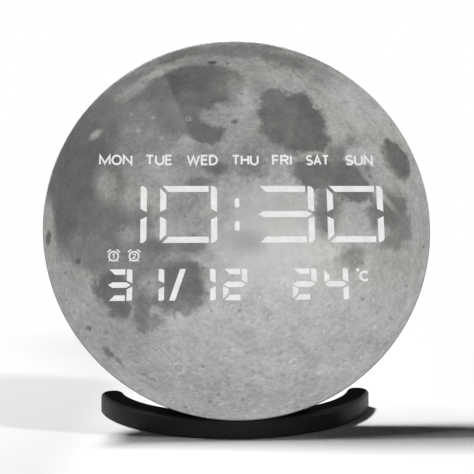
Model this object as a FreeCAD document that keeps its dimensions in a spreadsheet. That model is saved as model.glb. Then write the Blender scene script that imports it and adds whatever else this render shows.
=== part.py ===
import FreeCAD, Part
import math
import os
import Sketcher
from FreeCAD import Vector

# The clock is a round lit face on a shallow housing that leans back in a C-shaped tray.
# Two frames are used. The stand frame has the tray's centre at X = Y = 0 and the ground at Z = 0,
# with the face toward -Y. The bench frame is the head lying on its back: X across the face,
# Y up the face, Z from the rear plane to the front of the face.

SIZES = (
    # Face disc
    ("face_diameter", 200),
    ("face_thickness", 2.5),
    ("face_edge_round", 0.8),
    ("lean_angle", 12),
    # Housing
    ("housing_setback", 5),
    ("rear_setback", 10),
    ("front_height", 11.5),
    ("rear_height", 12),
    ("taper_height", 8),
    ("rear_round", 2),
    ("shoulder_round", 4),
    ("shell_wall", 2.2),
    ("plate_thickness", 2),
    ("lip_height", 1.5),
    ("lip_thickness", 1.2),
    ("lip_clearance", 0.15),
    ("lip_root", 1.5),
    # Screws that hold the two shells together
    ("post_radius", 4),
    ("boss_radius", 3.5),
    ("well_radius", 3.2),
    ("well_seat_height", 4),
    ("screw_head_radius", 2.7),
    ("screw_head_height", 2),
    ("screw_shank_radius", 1.2),
    ("screw_grip", 7),
    ("screw_clearance", 0.3),
    ("thread_clearance", 0.05),
    # Display block, film and board
    ("block_round", 2),
    ("window_gap", 0.5),
    ("film_thickness", 0.3),
    ("board_standoff", 5.5),
    ("board_thickness", 1.6),
    ("board_boss_radius", 2.2),
    ("board_screw_head_radius", 2),
    ("board_screw_head_height", 1.2),
    ("board_screw_radius", 0.9),
    ("board_screw_grip", 4),
    # Lit figures on the face
    ("inlay_depth", 0.6),
    ("led_length", 1.6),
    ("led_width", 0.8),
    ("led_height", 0.7),
    # Keys on the back and the switches behind them
    ("key_radius", 3.5),
    ("key_proud", 0.8),
    ("key_hole_clearance", 0.25),
    ("key_flange_radius", 4.6),
    ("key_flange_height", 1),
    ("key_guide_clearance", 0.3),
    ("key_guide_wall", 1.2),
    ("key_guide_height", 3),
    ("key_float", 0.3),
    ("key_stem_radius", 1.6),
    ("key_dome_round", 0.6),
    ("switch_width", 6),
    ("switch_height", 3.5),
    ("switch_button_radius", 1.7),
    ("switch_button_clearance", 0.1),
    ("switch_button_proud", 1),
    ("switch_button_depth", 1.5),
    ("switch_bore_depth", 2.5),
    # Power inlet
    ("inlet_width", 13),
    ("inlet_height", 7.4),
    ("inlet_depth", 4.8),
    ("inlet_wall", 1.6),
    ("inlet_floor", 1.2),
    ("connector_width", 9),
    ("connector_height", 3.2),
    ("connector_wall", 0.35),
    ("connector_base", 1.5),
    ("connector_clearance", 0.2),
    ("tongue_width", 6.7),
    ("tongue_thickness", 0.7),
    ("tongue_setback", 0.8),
    # Backup battery bay
    ("bay_clearance", 1.5),
    ("bay_wall", 1.6),
    ("bay_floor", 1.2),
    ("cell_radius", 10),
    ("cell_height", 3.2),
    ("cell_float", 0.3),
    ("contact_thickness", 0.3),
    ("contact_width", 5),
    ("contact_length", 14),
    ("contact_tail_width", 1),
    ("side_contact_height", 3),
    ("door_width", 34),
    ("door_height", 26),
    ("door_thickness", 1.8),
    ("door_clearance", 0.2),
    ("door_screw_inset", 4),
    ("door_screw_length", 7),
    ("door_boss_radius", 3),
    # Keyhole hanger
    ("keyhole_entry_radius", 4.5),
    ("keyhole_slot_radius", 2.4),
    ("keyhole_slot_length", 9),
    ("keyhole_depth", 3.3),
    ("keyhole_relief", 0.5),
    ("keyhole_wall", 1.5),
    ("keyhole_backing", 1.2),
    # Vents, sounder and label recess
    ("vent_count", 9),
    ("vent_radius", 1),
    ("grille_hole_radius", 0.8),
    ("grille_pitch", 3.2),
    ("buzzer_radius", 6),
    ("buzzer_height", 8.5),
    ("buzzer_port_radius", 1),
    ("buzzer_port_depth", 2),
    ("label_depth", 0.3),
    # Parts on the board
    ("chip_width", 7.5),
    ("chip_length", 18),
    ("chip_height", 2.3),
    ("capacitor_radius", 3.15),
    ("capacitor_height", 7.7),
    ("crystal_length", 8),
    ("crystal_width", 3),
    ("crystal_height", 2.6),
    ("sensor_radius", 1.2),
    ("sensor_lead_radius", 0.25),
    ("sensor_lead_spacing", 1.4),
    ("sensor_drop", 6),
    # Tray stand
    ("ring_width", 12.6),
    ("ring_height", 10.3),
    ("ring_sweep_angle", 74),
    ("ring_top_round", 2.5),
    ("ring_wall", 2.2),
    ("base_inset", 1.2),
    ("base_thickness", 1.5),
    ("base_clearance", 0.15),
    ("foot_radius", 3.6),
    ("foot_height", 1.2),
    ("foot_proud", 0.5),
    ("foot_angle_inner", 35),
    ("foot_angle_outer", 69),
    ("stand_screw_angle_inner", 18),
    ("stand_screw_angle_outer", 53),
    ("stand_boss_radius", 2.8),
    ("stand_screw_length", 6),
    # Tongue that carries the head
    ("peg_width", 30),
    ("peg_thickness", 5),
    ("peg_depth", 8),
    ("peg_reach", 22),
    ("peg_root", 4),
    ("peg_clearance", 0.3),
    ("peg_tip_chamfer", 1.5),
    ("socket_wall", 2),
    ("socket_setback", 2.5),
    # How the face sits on the tray
    ("face_sink", 1.4),
    ("face_overhang", 0.5),
    ("face_notch_clearance", 0.3),
    # Reach past the material so that a cut leaves no skin
    ("overrun", 1),
)

# Sizes and places that follow the face, each as a share of its radius
FACE_SHARES = (
    # Display block and board
    ("block_width", 1.56),
    ("block_height", 0.84),
    ("block_raise", -0.025),
    ("board_width", 1.66),
    ("board_height", 0.78),
    ("board_round", 0.09),
    ("board_screw_side", 0.805),
    ("board_screw_rise", 0.22),
    # Time figures
    ("big_digit_width", 0.294),
    ("big_digit_height", 0.3),
    ("big_stroke", 0.032),
    ("big_gap", 0.012),
    ("big_corner_round", 0.028),
    ("big_baseline", -0.112),
    ("hour_tens_left", -0.766),
    ("hour_units_left", -0.404),
    ("minute_tens_left", 0.1),
    ("minute_units_left", 0.462),
    ("colon_side", -0.007),
    ("colon_rise", 0.037),
    ("colon_half_spacing", 0.061),
    ("colon_dot_width", 0.024),
    ("colon_dot_height", 0.051),
    # Date and temperature figures
    ("small_digit_width", 0.124),
    ("small_digit_height", 0.16),
    ("small_stroke", 0.028),
    ("small_gap", 0.008),
    ("small_corner_round", 0.011),
    ("small_baseline", -0.407),
    ("day_tens_left", -0.664),
    ("day_units_left", -0.504),
    ("month_tens_left", -0.244),
    ("month_units_left", -0.083),
    ("degree_tens_left", 0.272),
    ("degree_units_left", 0.434),
    ("slash_left", -0.355),
    ("slash_width", 0.03),
    ("slash_lean", 0.055),
    # Places on the back
    ("screw_circle_radius", 0.78),
    ("key_row_rise", 0.27),
    ("key_pitch", 0.18),
    ("inlet_side", -0.5),
    ("inlet_rise", -0.2),
    ("bay_side", 0.34),
    ("bay_rise", -0.14),
    ("keyhole_rise", 0.52),
    ("vent_pitch", 0.06),
    ("vent_length", 0.1),
    ("vent_rise", -0.6),
    ("label_side", -0.08),
    ("label_width", 0.46),
    ("label_height", 0.18),
    ("label_rise", 0.02),
    # Places on the board
    ("buzzer_side", 0.55),
    ("buzzer_rise", 0.14),
    ("chip_side", 0.22),
    ("chip_rise", 0.06),
    ("capacitor_side", -0.34),
    ("capacitor_rise", -0.22),
    ("crystal_side", -0.02),
    ("crystal_rise", -0.14),
    # Tray
    ("ring_radius", 0.79),
)

doc = FreeCAD.newDocument("clock")


class Size:
    """A size with its value and the sheet formula that gives it."""

    def __init__(self, value, text):
        self.value = value
        self.text = text

    def joined(self, other, sign, value):
        return Size(value, "(" + self.text + " " + sign + " " + sized(other).text + ")")

    def __add__(self, other):
        return self.joined(other, "+", self.value + sized(other).value)

    def __sub__(self, other):
        return self.joined(other, "-", self.value - sized(other).value)

    def __mul__(self, other):
        return self.joined(other, "*", self.value * sized(other).value)

    def __truediv__(self, other):
        return self.joined(other, "/", self.value / sized(other).value)

    def __neg__(self):
        return Size(-self.value, "(0 - " + self.text + ")")


def sized(number):
    """Let a plain count or zero stand beside sizes."""
    if isinstance(number, Size):
        return number
    return Size(float(number), str(number))


def sine(angle):
    return Size(math.sin(math.radians(angle.value)), "sin(" + angle.text + ")")


def cosine(angle):
    return Size(math.cos(math.radians(angle.value)), "cos(" + angle.text + ")")


def root(area):
    return Size(math.sqrt(area.value), "sqrt(" + area.text + ")")


def make_sheet():
    """Write the driving sizes and shares into the sheet and return every size by its name."""
    sheet = doc.addObject("Spreadsheet::Sheet", "Sizes")
    rows = SIZES + tuple((name + "_share", number) for name, number in FACE_SHARES)
    for row, (name, number) in enumerate(rows, start=1):
        sheet.set("A" + str(row), name)
        sheet.set("B" + str(row), str(number))
        sheet.setAlias("B" + str(row), name)
    doc.recompute()
    cells = {name: Size(float(sheet.get(name)), "Sizes." + name) for name, number in rows}
    named = {name: cells[name] for name, number in SIZES}
    for name, number in FACE_SHARES:
        named[name] = cells["face_diameter"] / 2 * cells[name + "_share"]
    return named


S = make_sheet()
ZERO = sized(0)

# Heights in the bench frame, and the places that several pieces share
face_radius = S["face_diameter"] / 2
housing_radius = face_radius - S["housing_setback"]
rear_radius = housing_radius - S["rear_setback"]
inner_radius = housing_radius - S["shell_wall"]
face_back = S["rear_height"] + S["front_height"]
head_depth = face_back + S["face_thickness"]
plate_back = face_back - S["plate_thickness"]
board_front = plate_back - S["board_standoff"]
board_back = board_front - S["board_thickness"]
block_top = face_back - S["film_thickness"]
peg_middle = head_depth - S["peg_depth"]
key_base = S["shell_wall"] + S["key_float"]
switch_face = board_back - S["switch_height"]
button_tip = switch_face - S["switch_button_proud"]
cell_base = S["door_thickness"] + S["cell_float"]
cell_top = cell_base + S["cell_height"]
bay_width = (S["cell_radius"] + S["bay_clearance"]) * 2
bay_depth = cell_top + S["contact_thickness"]
door_side = S["bay_side"] + (S["door_width"] - bay_width) / 2 - S["bay_wall"]
door_screw_side = door_side + S["door_width"] / 2 - S["door_screw_inset"]

# Places in the stand frame
ring_outer = S["ring_radius"]
ring_inner = ring_outer - S["ring_width"]
ring_middle = ring_outer - S["ring_width"] / 2
ring_top = S["foot_proud"] + S["ring_height"]
face_middle_y = face_radius * sine(S["lean_angle"]) - ring_outer - S["face_overhang"]
face_middle_z = ring_top - S["face_sink"] + face_radius * cosine(S["lean_angle"])
head_y = face_middle_y + head_depth * cosine(S["lean_angle"])
head_z = face_middle_z - head_depth * sine(S["lean_angle"])

# The origin lies midway between the face's lowest front edge and the tray's tips
edge_y = S["face_edge_round"] * cosine(S["lean_angle"])
edge_y = edge_y - (face_radius - S["face_edge_round"]) * sine(S["lean_angle"])
front_reach = face_middle_y + edge_y - S["face_edge_round"]
rear_reach = S["ring_width"] / 2 - ring_middle * cosine(S["ring_sweep_angle"])
centring = -(front_reach + rear_reach) / 2

# Angles of the shell screws round the face, from the right-hand side toward the top
COVER_SCREW_ANGLES = (50, 90, 130, 233, 307)
KEY_NAMES = ("set", "up", "down", "alarm")

# Two lengths match where they differ by less than this share
MATCH_SHARE = 0.00001

# Driver recess in a screw head: its half length and half width as shares of the head's radius
RECESS_SHARES = (0.6, 0.2)

# Each figure lights these segments: a top, b and c right, d bottom, e and f left, g middle
LIT = {"0": "abcdef", "1": "bc", "2": "abdeg", "3": "abcdg", "4": "bcfg"}


def bind(thing, name, size):
    thing.setExpression(name, size.text)


def add_body(name):
    body = doc.addObject("PartDesign::Body", name)
    body.Label = name
    return body


def add_sketch(body, name, height=ZERO, role="XY_Plane"):
    """Put a sketch on one of the body's own origin planes, lifted along its normal."""
    plane = [feature for feature in body.Origin.OriginFeatures if feature.Role == role][0]
    sketch = body.newObject("Sketcher::SketchObject", body.Name + "_" + name)
    sketch.AttachmentSupport = (plane, "")
    sketch.MapMode = "FlatFace"
    bind(sketch, ".AttachmentOffset.Base.z", height)
    return sketch


def constrain(sketch, constraint, size):
    number = sketch.addConstraint(constraint)
    bind(sketch, "Constraints[" + str(number) + "]", size)


def pin(sketch, number, point, x, y):
    constrain(sketch, Sketcher.Constraint("DistanceX", -1, 1, number, point, x.value), x)
    constrain(sketch, Sketcher.Constraint("DistanceY", -1, 1, number, point, y.value), y)


def draw_circle(sketch, x, y, radius):
    circle = Part.Circle(Vector(x.value, y.value, 0), Vector(0, 0, 1), radius.value)
    number = sketch.addGeometry(circle, False)
    pin(sketch, number, 3, x, y)
    constrain(sketch, Sketcher.Constraint("Radius", number, radius.value), radius)


def draw_polygon(sketch, points):
    places = [Vector(x.value, y.value, 0) for x, y in points]
    numbers = []
    for start, end in zip(places, places[1:] + places[:1]):
        numbers.append(sketch.addGeometry(Part.LineSegment(start, end), False))
    for line, following in zip(numbers, numbers[1:] + numbers[:1]):
        sketch.addConstraint(Sketcher.Constraint("Coincident", line, 2, following, 1))
    for number, (x, y) in zip(numbers, points):
        pin(sketch, number, 1, x, y)


def draw_rectangle(sketch, x, y, width, height):
    left = x - width / 2
    right = x + width / 2
    low = y - height / 2
    high = y + height / 2
    draw_polygon(sketch, ((left, low), (right, low), (right, high), (left, high)))


def draw_slot(sketch, start, end, radius):
    """A slot with round ends, between the middles of its two ends."""
    x1, y1 = start
    x2, y2 = end
    turn = math.atan2(y2.value - y1.value, x2.value - x1.value)
    aside = Vector(-math.sin(turn), math.cos(turn), 0) * radius.value
    first = Vector(x1.value, y1.value, 0)
    last = Vector(x2.value, y2.value, 0)
    up = Vector(0, 0, 1)
    quarter = math.pi / 2
    start_arc = Part.ArcOfCircle(Part.Circle(first, up, radius.value), turn + quarter, turn + 3 * quarter)
    end_arc = Part.ArcOfCircle(Part.Circle(last, up, radius.value), turn - quarter, turn + quarter)
    start_end = sketch.addGeometry(start_arc, False)
    far_end = sketch.addGeometry(end_arc, False)
    out = sketch.addGeometry(Part.LineSegment(first - aside, last - aside), False)
    back = sketch.addGeometry(Part.LineSegment(last + aside, first + aside), False)
    sketch.addConstraint(Sketcher.Constraint("Tangent", start_end, 2, out, 1))
    sketch.addConstraint(Sketcher.Constraint("Tangent", out, 2, far_end, 1))
    sketch.addConstraint(Sketcher.Constraint("Tangent", far_end, 2, back, 1))
    sketch.addConstraint(Sketcher.Constraint("Tangent", back, 2, start_end, 1))
    sketch.addConstraint(Sketcher.Constraint("Equal", start_end, far_end))
    pin(sketch, start_end, 3, x1, y1)
    pin(sketch, far_end, 3, x2, y2)
    constrain(sketch, Sketcher.Constraint("Radius", start_end, radius.value), radius)


def draw_band(sketch, outer, inner):
    """A C-shaped band round the origin, open toward +Y, with round tips."""
    middle = (outer + inner) / 2
    half = (outer - inner) / 2
    sweep = math.radians(S["ring_sweep_angle"].value)
    left_turn = -math.pi / 2 - sweep
    right_turn = -math.pi / 2 + sweep
    up = Vector(0, 0, 1)
    right_tip = Vector(math.cos(right_turn), math.sin(right_turn), 0) * middle.value
    left_tip = Vector(math.cos(left_turn), math.sin(left_turn), 0) * middle.value
    outside = Part.ArcOfCircle(Part.Circle(Vector(), up, outer.value), left_turn, right_turn)
    inside = Part.ArcOfCircle(Part.Circle(Vector(), up, inner.value), left_turn, right_turn)
    right = Part.ArcOfCircle(Part.Circle(right_tip, up, half.value), right_turn, right_turn + math.pi)
    left = Part.ArcOfCircle(Part.Circle(left_tip, up, half.value), left_turn - math.pi, left_turn)
    arcs = (outside, inside, right, left)
    outside, inside, right, left = [sketch.addGeometry(arc, False) for arc in arcs]
    sketch.addConstraint(Sketcher.Constraint("Tangent", outside, 2, right, 1))
    sketch.addConstraint(Sketcher.Constraint("Tangent", right, 2, inside, 2))
    sketch.addConstraint(Sketcher.Constraint("Tangent", inside, 1, left, 1))
    sketch.addConstraint(Sketcher.Constraint("Tangent", left, 2, outside, 1))
    for arc, radius in ((outside, outer), (inside, inner)):
        sketch.addConstraint(Sketcher.Constraint("Coincident", arc, 3, -1, 1))
        constrain(sketch, Sketcher.Constraint("Radius", arc, radius.value), radius)
    reach = middle * sine(S["ring_sweep_angle"])
    constrain(sketch, Sketcher.Constraint("DistanceX", -1, 1, right, 3, reach.value), reach)
    constrain(sketch, Sketcher.Constraint("DistanceX", left, 3, -1, 1, reach.value), reach)


def pad(body, sketch, length):
    feature = body.newObject("PartDesign::Pad", sketch.Name + "_pad")
    feature.Profile = sketch
    bind(feature, "Length", length)
    return feature


def pocket(body, sketch, length):
    """Cut from the sketch along its normal."""
    feature = body.newObject("PartDesign::Pocket", sketch.Name + "_cut")
    feature.Profile = sketch
    feature.Reversed = True
    bind(feature, "Length", length)
    return feature


def turned(body, points):
    """A solid turned about the bench frame's Z axis from its profile (radius, height)."""
    sketch = add_sketch(body, "profile", role="XZ_Plane")
    draw_polygon(sketch, points)
    feature = body.newObject("PartDesign::Revolution", body.Name + "_turned")
    feature.Profile = sketch
    feature.ReferenceAxis = (sketch, ["V_Axis"])
    return feature


def edge_names(feature, test):
    names = []
    for number, edge in enumerate(feature.Shape.Edges, start=1):
        if test(edge):
            names.append("Edge" + str(number))
    return names


def round_edges(body, test, radius):
    """Fillet the edges of the body's last feature that pass the test."""
    doc.recompute()
    base = body.Tip
    feature = body.newObject("PartDesign::Fillet", base.Name + "_round")
    feature.Base = (base, edge_names(base, test))
    bind(feature, "Radius", radius)
    return feature


def near(length, size):
    return math.isclose(length, size.value, rel_tol=MATCH_SHARE, abs_tol=MATCH_SHARE * face_radius.value)


def is_rim(edge, radius, height):
    """A full or part circle of that radius at that height."""
    if not isinstance(edge.Curve, Part.Circle):
        return False
    return near(edge.Curve.Radius, radius) and near(edge.CenterOfMass.z, height)


def stands_upright(edge):
    return math.isclose(edge.BoundBox.ZLength, edge.Length, rel_tol=MATCH_SHARE)


def place_in_head(thing):
    """Move a piece from the bench frame to its place on the leaning head."""
    thing.Placement = FreeCAD.Placement(Vector(), FreeCAD.Rotation(Vector(1, 0, 0), 1))
    bind(thing, ".Placement.Base.y", head_y + centring)
    bind(thing, ".Placement.Base.z", head_z)
    bind(thing, ".Placement.Rotation.Angle", sized(90) - S["lean_angle"])


def place_in_stand(thing):
    bind(thing, ".Placement.Base.y", centring)


def add_feature(name, shape):
    """A piece whose solids are made from the sizes directly, in the bench frame."""
    feature = doc.addObject("Part::Feature", name)
    feature.Label = name
    feature.Shape = shape
    return feature


def around(radius, angle):
    turn = sized(angle)
    return radius * cosine(turn), radius * sine(turn)


def around_front(radius, angle):
    """A place on the tray, at an angle from its front, to the right where positive."""
    return radius * sine(angle), -(radius * cosine(angle))


def cover_screw_places():
    return [around(S["screw_circle_radius"], angle) for angle in COVER_SCREW_ANGLES]


def board_screw_places():
    places = []
    for side in (-S["board_screw_side"], S["board_screw_side"]):
        for rise in (-S["board_screw_rise"], S["board_screw_rise"]):
            places.append((side, S["block_raise"] + rise))
    return places


def key_places():
    """The four keys stand in one row, evenly about the middle."""
    first = -(S["key_pitch"] * (len(KEY_NAMES) - 1)) / 2
    return [(first + S["key_pitch"] * number, S["key_row_rise"]) for number in range(len(KEY_NAMES))]


# Lit figures

def slab(points, low, high):
    """A flat solid from corner points, between two heights."""
    wire = Part.makePolygon([Vector(x, y, low) for x, y in points + points[:1]])
    return Part.Face(wire).extrude(Vector(0, 0, high - low))


def rounded_upright(left, right, top, tip, shoulder, bend, sign, low, high):
    """A right-hand segment: round at its outer corner and slanted toward the middle bar."""
    inset = bend * (1 - math.sin(math.pi / 4))
    corner = Vector(right - inset, top - sign * inset, low)
    start = Vector(right - bend, top, low)
    end = Vector(right, top - sign * bend, low)
    edges = [
        Part.LineSegment(Vector(left, top, low), start).toShape(),
        Part.Arc(start, corner, end).toShape(),
        Part.LineSegment(end, Vector(right, tip, low)).toShape(),
        Part.LineSegment(Vector(right, tip, low), Vector(left, shoulder, low)).toShape(),
        Part.LineSegment(Vector(left, shoulder, low), Vector(left, top, low)).toShape(),
    ]
    return Part.Face(Part.Wire(edges)).extrude(Vector(0, 0, high - low))


def digit_segments(kind, left, names, low, high):
    """The named segments of one figure, whose lower left corner is at left on its baseline."""
    x = S[left].value
    y = S[kind + "_baseline"].value
    width = S[kind + "_digit_width"].value
    height = S[kind + "_digit_height"].value
    stroke = S[kind + "_stroke"].value
    gap = S[kind + "_gap"].value
    bend = S[kind + "_corner_round"].value
    middle = y + height / 2
    solids = []
    for sign, over, left_side, right_side in ((1, "a", "f", "b"), (-1, "d", "e", "c")):
        end = middle + sign * height / 2
        tip = middle + sign * gap
        shoulder = middle + sign * (gap + stroke / 2)
        bar_right = x + width - stroke - gap
        if over in names:
            points = [(x + gap, end), (bar_right, end), (bar_right, end - sign * stroke)]
            points.append((x + gap + stroke, end - sign * stroke))
            solids.append(slab(points, low, high))
        if left_side in names:
            points = [(x, end - sign * gap), (x + stroke, end - sign * (gap + stroke))]
            points += [(x + stroke, shoulder), (x, tip)]
            solids.append(slab(points, low, high))
        if right_side in names:
            right = x + width
            solids.append(rounded_upright(right - stroke, right, end, tip, shoulder, bend, sign, low, high))
    if "g" in names:
        bevel = stroke / 2 + gap
        start = x + gap / 4
        stop = x + width - gap
        top = middle + stroke / 2
        bottom = middle - stroke / 2
        points = [(start, middle), (start + bevel, top), (stop - bevel, top)]
        points += [(stop, middle), (stop - bevel, bottom), (start + bevel, bottom)]
        solids.append(slab(points, low, high))
    return solids


def colon_dots(low, high):
    """Two upright oval dots."""
    radius = S["colon_dot_width"].value / 2
    straight = S["colon_dot_height"].value / 2 - radius
    x = S["colon_side"].value
    dots = []
    for sign in (-1, 1):
        y = S["colon_rise"].value + sign * S["colon_half_spacing"].value
        dot = Part.makeCylinder(radius, high - low, Vector(x, y - straight, low))
        dot = dot.fuse(Part.makeCylinder(radius, high - low, Vector(x, y + straight, low)))
        corner = Vector(x - radius, y - straight, low)
        dot = dot.fuse(Part.makeBox(2 * radius, 2 * straight, high - low, corner))
        dots.append(dot.removeSplitter().Solids[0])
    return dots


def date_slash(low, high):
    x = S["slash_left"].value
    y = S["small_baseline"].value
    width = S["slash_width"].value
    lean = S["slash_lean"].value
    top = y + S["small_digit_height"].value
    return slab([(x, y), (x + width, y), (x + width + lean, top), (x + lean, top)], low, high)


TIME = {"hour_tens_left": "1", "hour_units_left": "0", "minute_tens_left": "3", "minute_units_left": "0"}
DATE = {"day_tens_left": "3", "day_units_left": "1", "month_tens_left": "1", "month_units_left": "2"}
DEGREES = {"degree_tens_left": "2", "degree_units_left": "4"}


def lit_figures(kind, digits, low, high):
    solids = []
    for left, figure in digits.items():
        solids += digit_segments(kind, left, LIT[figure], low, high)
    return solids


def all_segments(low, high):
    """Every segment that the display can light, with the colon and the slash."""
    solids = []
    for kind, digits in (("big", TIME), ("small", DATE), ("small", DEGREES)):
        for left in digits:
            solids += digit_segments(kind, left, "abcdefg", low, high)
    return solids + colon_dots(low, high) + [date_slash(low, high)]


def figure_groups():
    """The lit figures by node, as solids let into the face flush with its front."""
    low = (head_depth - S["inlay_depth"]).value
    high = head_depth.value
    return {
        "time_digits": lit_figures("big", TIME, low, high),
        "colon_dots": colon_dots(low, high),
        "date_digits": lit_figures("small", DATE, low, high) + [date_slash(low, high)],
        "temperature_digits": lit_figures("small", DEGREES, low, high),
    }


def make_lit_figures():
    return [add_feature(name, Part.Compound(solids)) for name, solids in figure_groups().items()]


def make_face_panel():
    """The printed disc, round at its front edge, with a seat for each light window."""
    disc = add_body("face_disc")
    sketch = add_sketch(disc, "outline", face_back)
    draw_circle(sketch, ZERO, ZERO, face_radius)
    pad(disc, sketch, S["face_thickness"])
    round_edges(disc, lambda edge: is_rim(edge, face_radius, head_depth), S["face_edge_round"])
    seats = doc.addObject("Part::Feature", "window_seats")
    seats.Shape = Part.Compound([solid for solids in figure_groups().values() for solid in solids])
    return cut_piece("face_panel", disc, seats)


def cut_piece(name, base, tool):
    piece = doc.addObject("Part::Cut", name)
    piece.Label = name
    piece.Base = base
    piece.Tool = tool
    return piece


def make_diffuser_film():
    body = add_body("diffuser_film")
    sketch = add_sketch(body, "outline", block_top)
    draw_rectangle(sketch, ZERO, S["block_raise"], S["block_width"], S["block_height"])
    pad(body, sketch, S["film_thickness"])
    round_edges(body, stands_upright, S["block_round"])
    return body


def make_segment_block():
    """The white block with one open light well behind each segment."""
    blank = add_body("segment_blank")
    sketch = add_sketch(blank, "outline", board_front)
    draw_rectangle(sketch, ZERO, S["block_raise"], S["block_width"], S["block_height"])
    pad(blank, sketch, block_top - board_front)
    round_edges(blank, stands_upright, S["block_round"])
    overrun = S["overrun"].value
    wells = doc.addObject("Part::Feature", "light_wells")
    wells.Shape = Part.Compound(all_segments(board_front.value - overrun, block_top.value + overrun))
    return cut_piece("segment_block", blank, wells)


def make_segment_leds():
    """One small emitter on the board in the middle of each light well."""
    long = S["led_length"].value
    wide = S["led_width"].value
    emitters = []
    for well in all_segments(board_front.value, block_top.value):
        box = well.BoundBox
        sides = (long, wide) if box.XLength > box.YLength else (wide, long)
        middle = well.CenterOfMass
        corner = Vector(middle.x - sides[0] / 2, middle.y - sides[1] / 2, board_front.value)
        emitters.append(Part.makeBox(sides[0], sides[1], S["led_height"].value, corner))
    return add_feature("segment_leds", Part.Compound(emitters))


# Housing

def make_front_shell():
    """Front half of the housing: plate, side wall, lip, bosses and the socket for the tongue."""
    body = add_body("front_shell")
    split = S["rear_height"]
    lip_outer = inner_radius - S["lip_clearance"]
    lip_inner = lip_outer - S["lip_thickness"]
    lip_low = split - S["lip_height"]
    lip_high = split + S["lip_root"]
    turned(body, (
        (ZERO, face_back), (housing_radius, face_back), (housing_radius, split), (lip_outer, split),
        (lip_outer, lip_low), (lip_inner, lip_low), (lip_inner, lip_high), (inner_radius, lip_high),
        (inner_radius, plate_back), (ZERO, plate_back)))
    bosses = add_sketch(body, "screw_bosses", split)
    for x, y in cover_screw_places():
        draw_circle(bosses, x, y, S["boss_radius"])
    pad(body, bosses, face_back - split)
    bosses = add_sketch(body, "board_bosses", board_front)
    for x, y in board_screw_places():
        draw_circle(bosses, x, y, S["board_boss_radius"])
    pad(body, bosses, face_back - board_front)
    bore_width = S["peg_width"] + S["peg_clearance"] * 2
    bore_depth = S["peg_thickness"] + S["peg_clearance"] * 2
    mouth = S["socket_setback"] - housing_radius
    roof = S["peg_reach"] + S["peg_clearance"] - housing_radius
    socket = add_sketch(body, "socket_block", peg_middle - bore_depth / 2 - S["socket_wall"])
    draw_rectangle(socket, ZERO, (mouth + roof + S["socket_wall"]) / 2, bore_width + S["socket_wall"] * 2,
                   roof + S["socket_wall"] - mouth)
    into_plate = S["plate_thickness"] / 2
    pad(body, socket, plate_back - peg_middle + bore_depth / 2 + S["socket_wall"] + into_plate)
    window = add_sketch(body, "window", plate_back - S["overrun"])
    draw_rectangle(window, ZERO, S["block_raise"], S["block_width"] + S["window_gap"] * 2,
                   S["block_height"] + S["window_gap"] * 2)
    pocket(body, window, S["plate_thickness"] + S["overrun"] * 2)
    pilots = add_sketch(body, "screw_pilots", split)
    for x, y in cover_screw_places():
        draw_circle(pilots, x, y, S["screw_shank_radius"] + S["thread_clearance"])
    pocket(body, pilots, S["screw_grip"] + S["thread_clearance"])
    pilots = add_sketch(body, "board_pilots", board_front)
    for x, y in board_screw_places():
        draw_circle(pilots, x, y, S["board_screw_radius"] + S["thread_clearance"])
    pocket(body, pilots, S["board_screw_grip"] + S["thread_clearance"])
    bore = add_sketch(body, "socket_bore", -roof, role="XZ_Plane")
    draw_rectangle(bore, ZERO, peg_middle, bore_width, bore_depth)
    pocket(body, bore, S["peg_reach"] + S["peg_clearance"] + S["overrun"])
    return body


def make_rear_cover():
    """Rear half of the housing: a shallow tapered pan with everything that the back carries."""
    body = add_body("rear_cover")
    wall = S["shell_wall"]
    run = housing_radius - rear_radius
    rise = S["taper_height"]
    slope = root(run * run + rise * rise)
    floor_radius = rear_radius - wall * rise / slope + (wall - wall * run / slope) * run / rise
    shoulder = wall * run / slope + (inner_radius - rear_radius + wall * rise / slope) * rise / run
    turned(body, (
        (ZERO, ZERO), (rear_radius, ZERO), (housing_radius, rise), (housing_radius, S["rear_height"]),
        (inner_radius, S["rear_height"]), (inner_radius, shoulder), (floor_radius, wall), (ZERO, wall)))
    round_edges(body, lambda edge: is_rim(edge, rear_radius, ZERO), S["rear_round"])
    round_edges(body, lambda edge: is_rim(edge, housing_radius, rise), S["shoulder_round"])
    add_cover_raised_parts(body)
    add_cover_openings(body)
    return body


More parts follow.
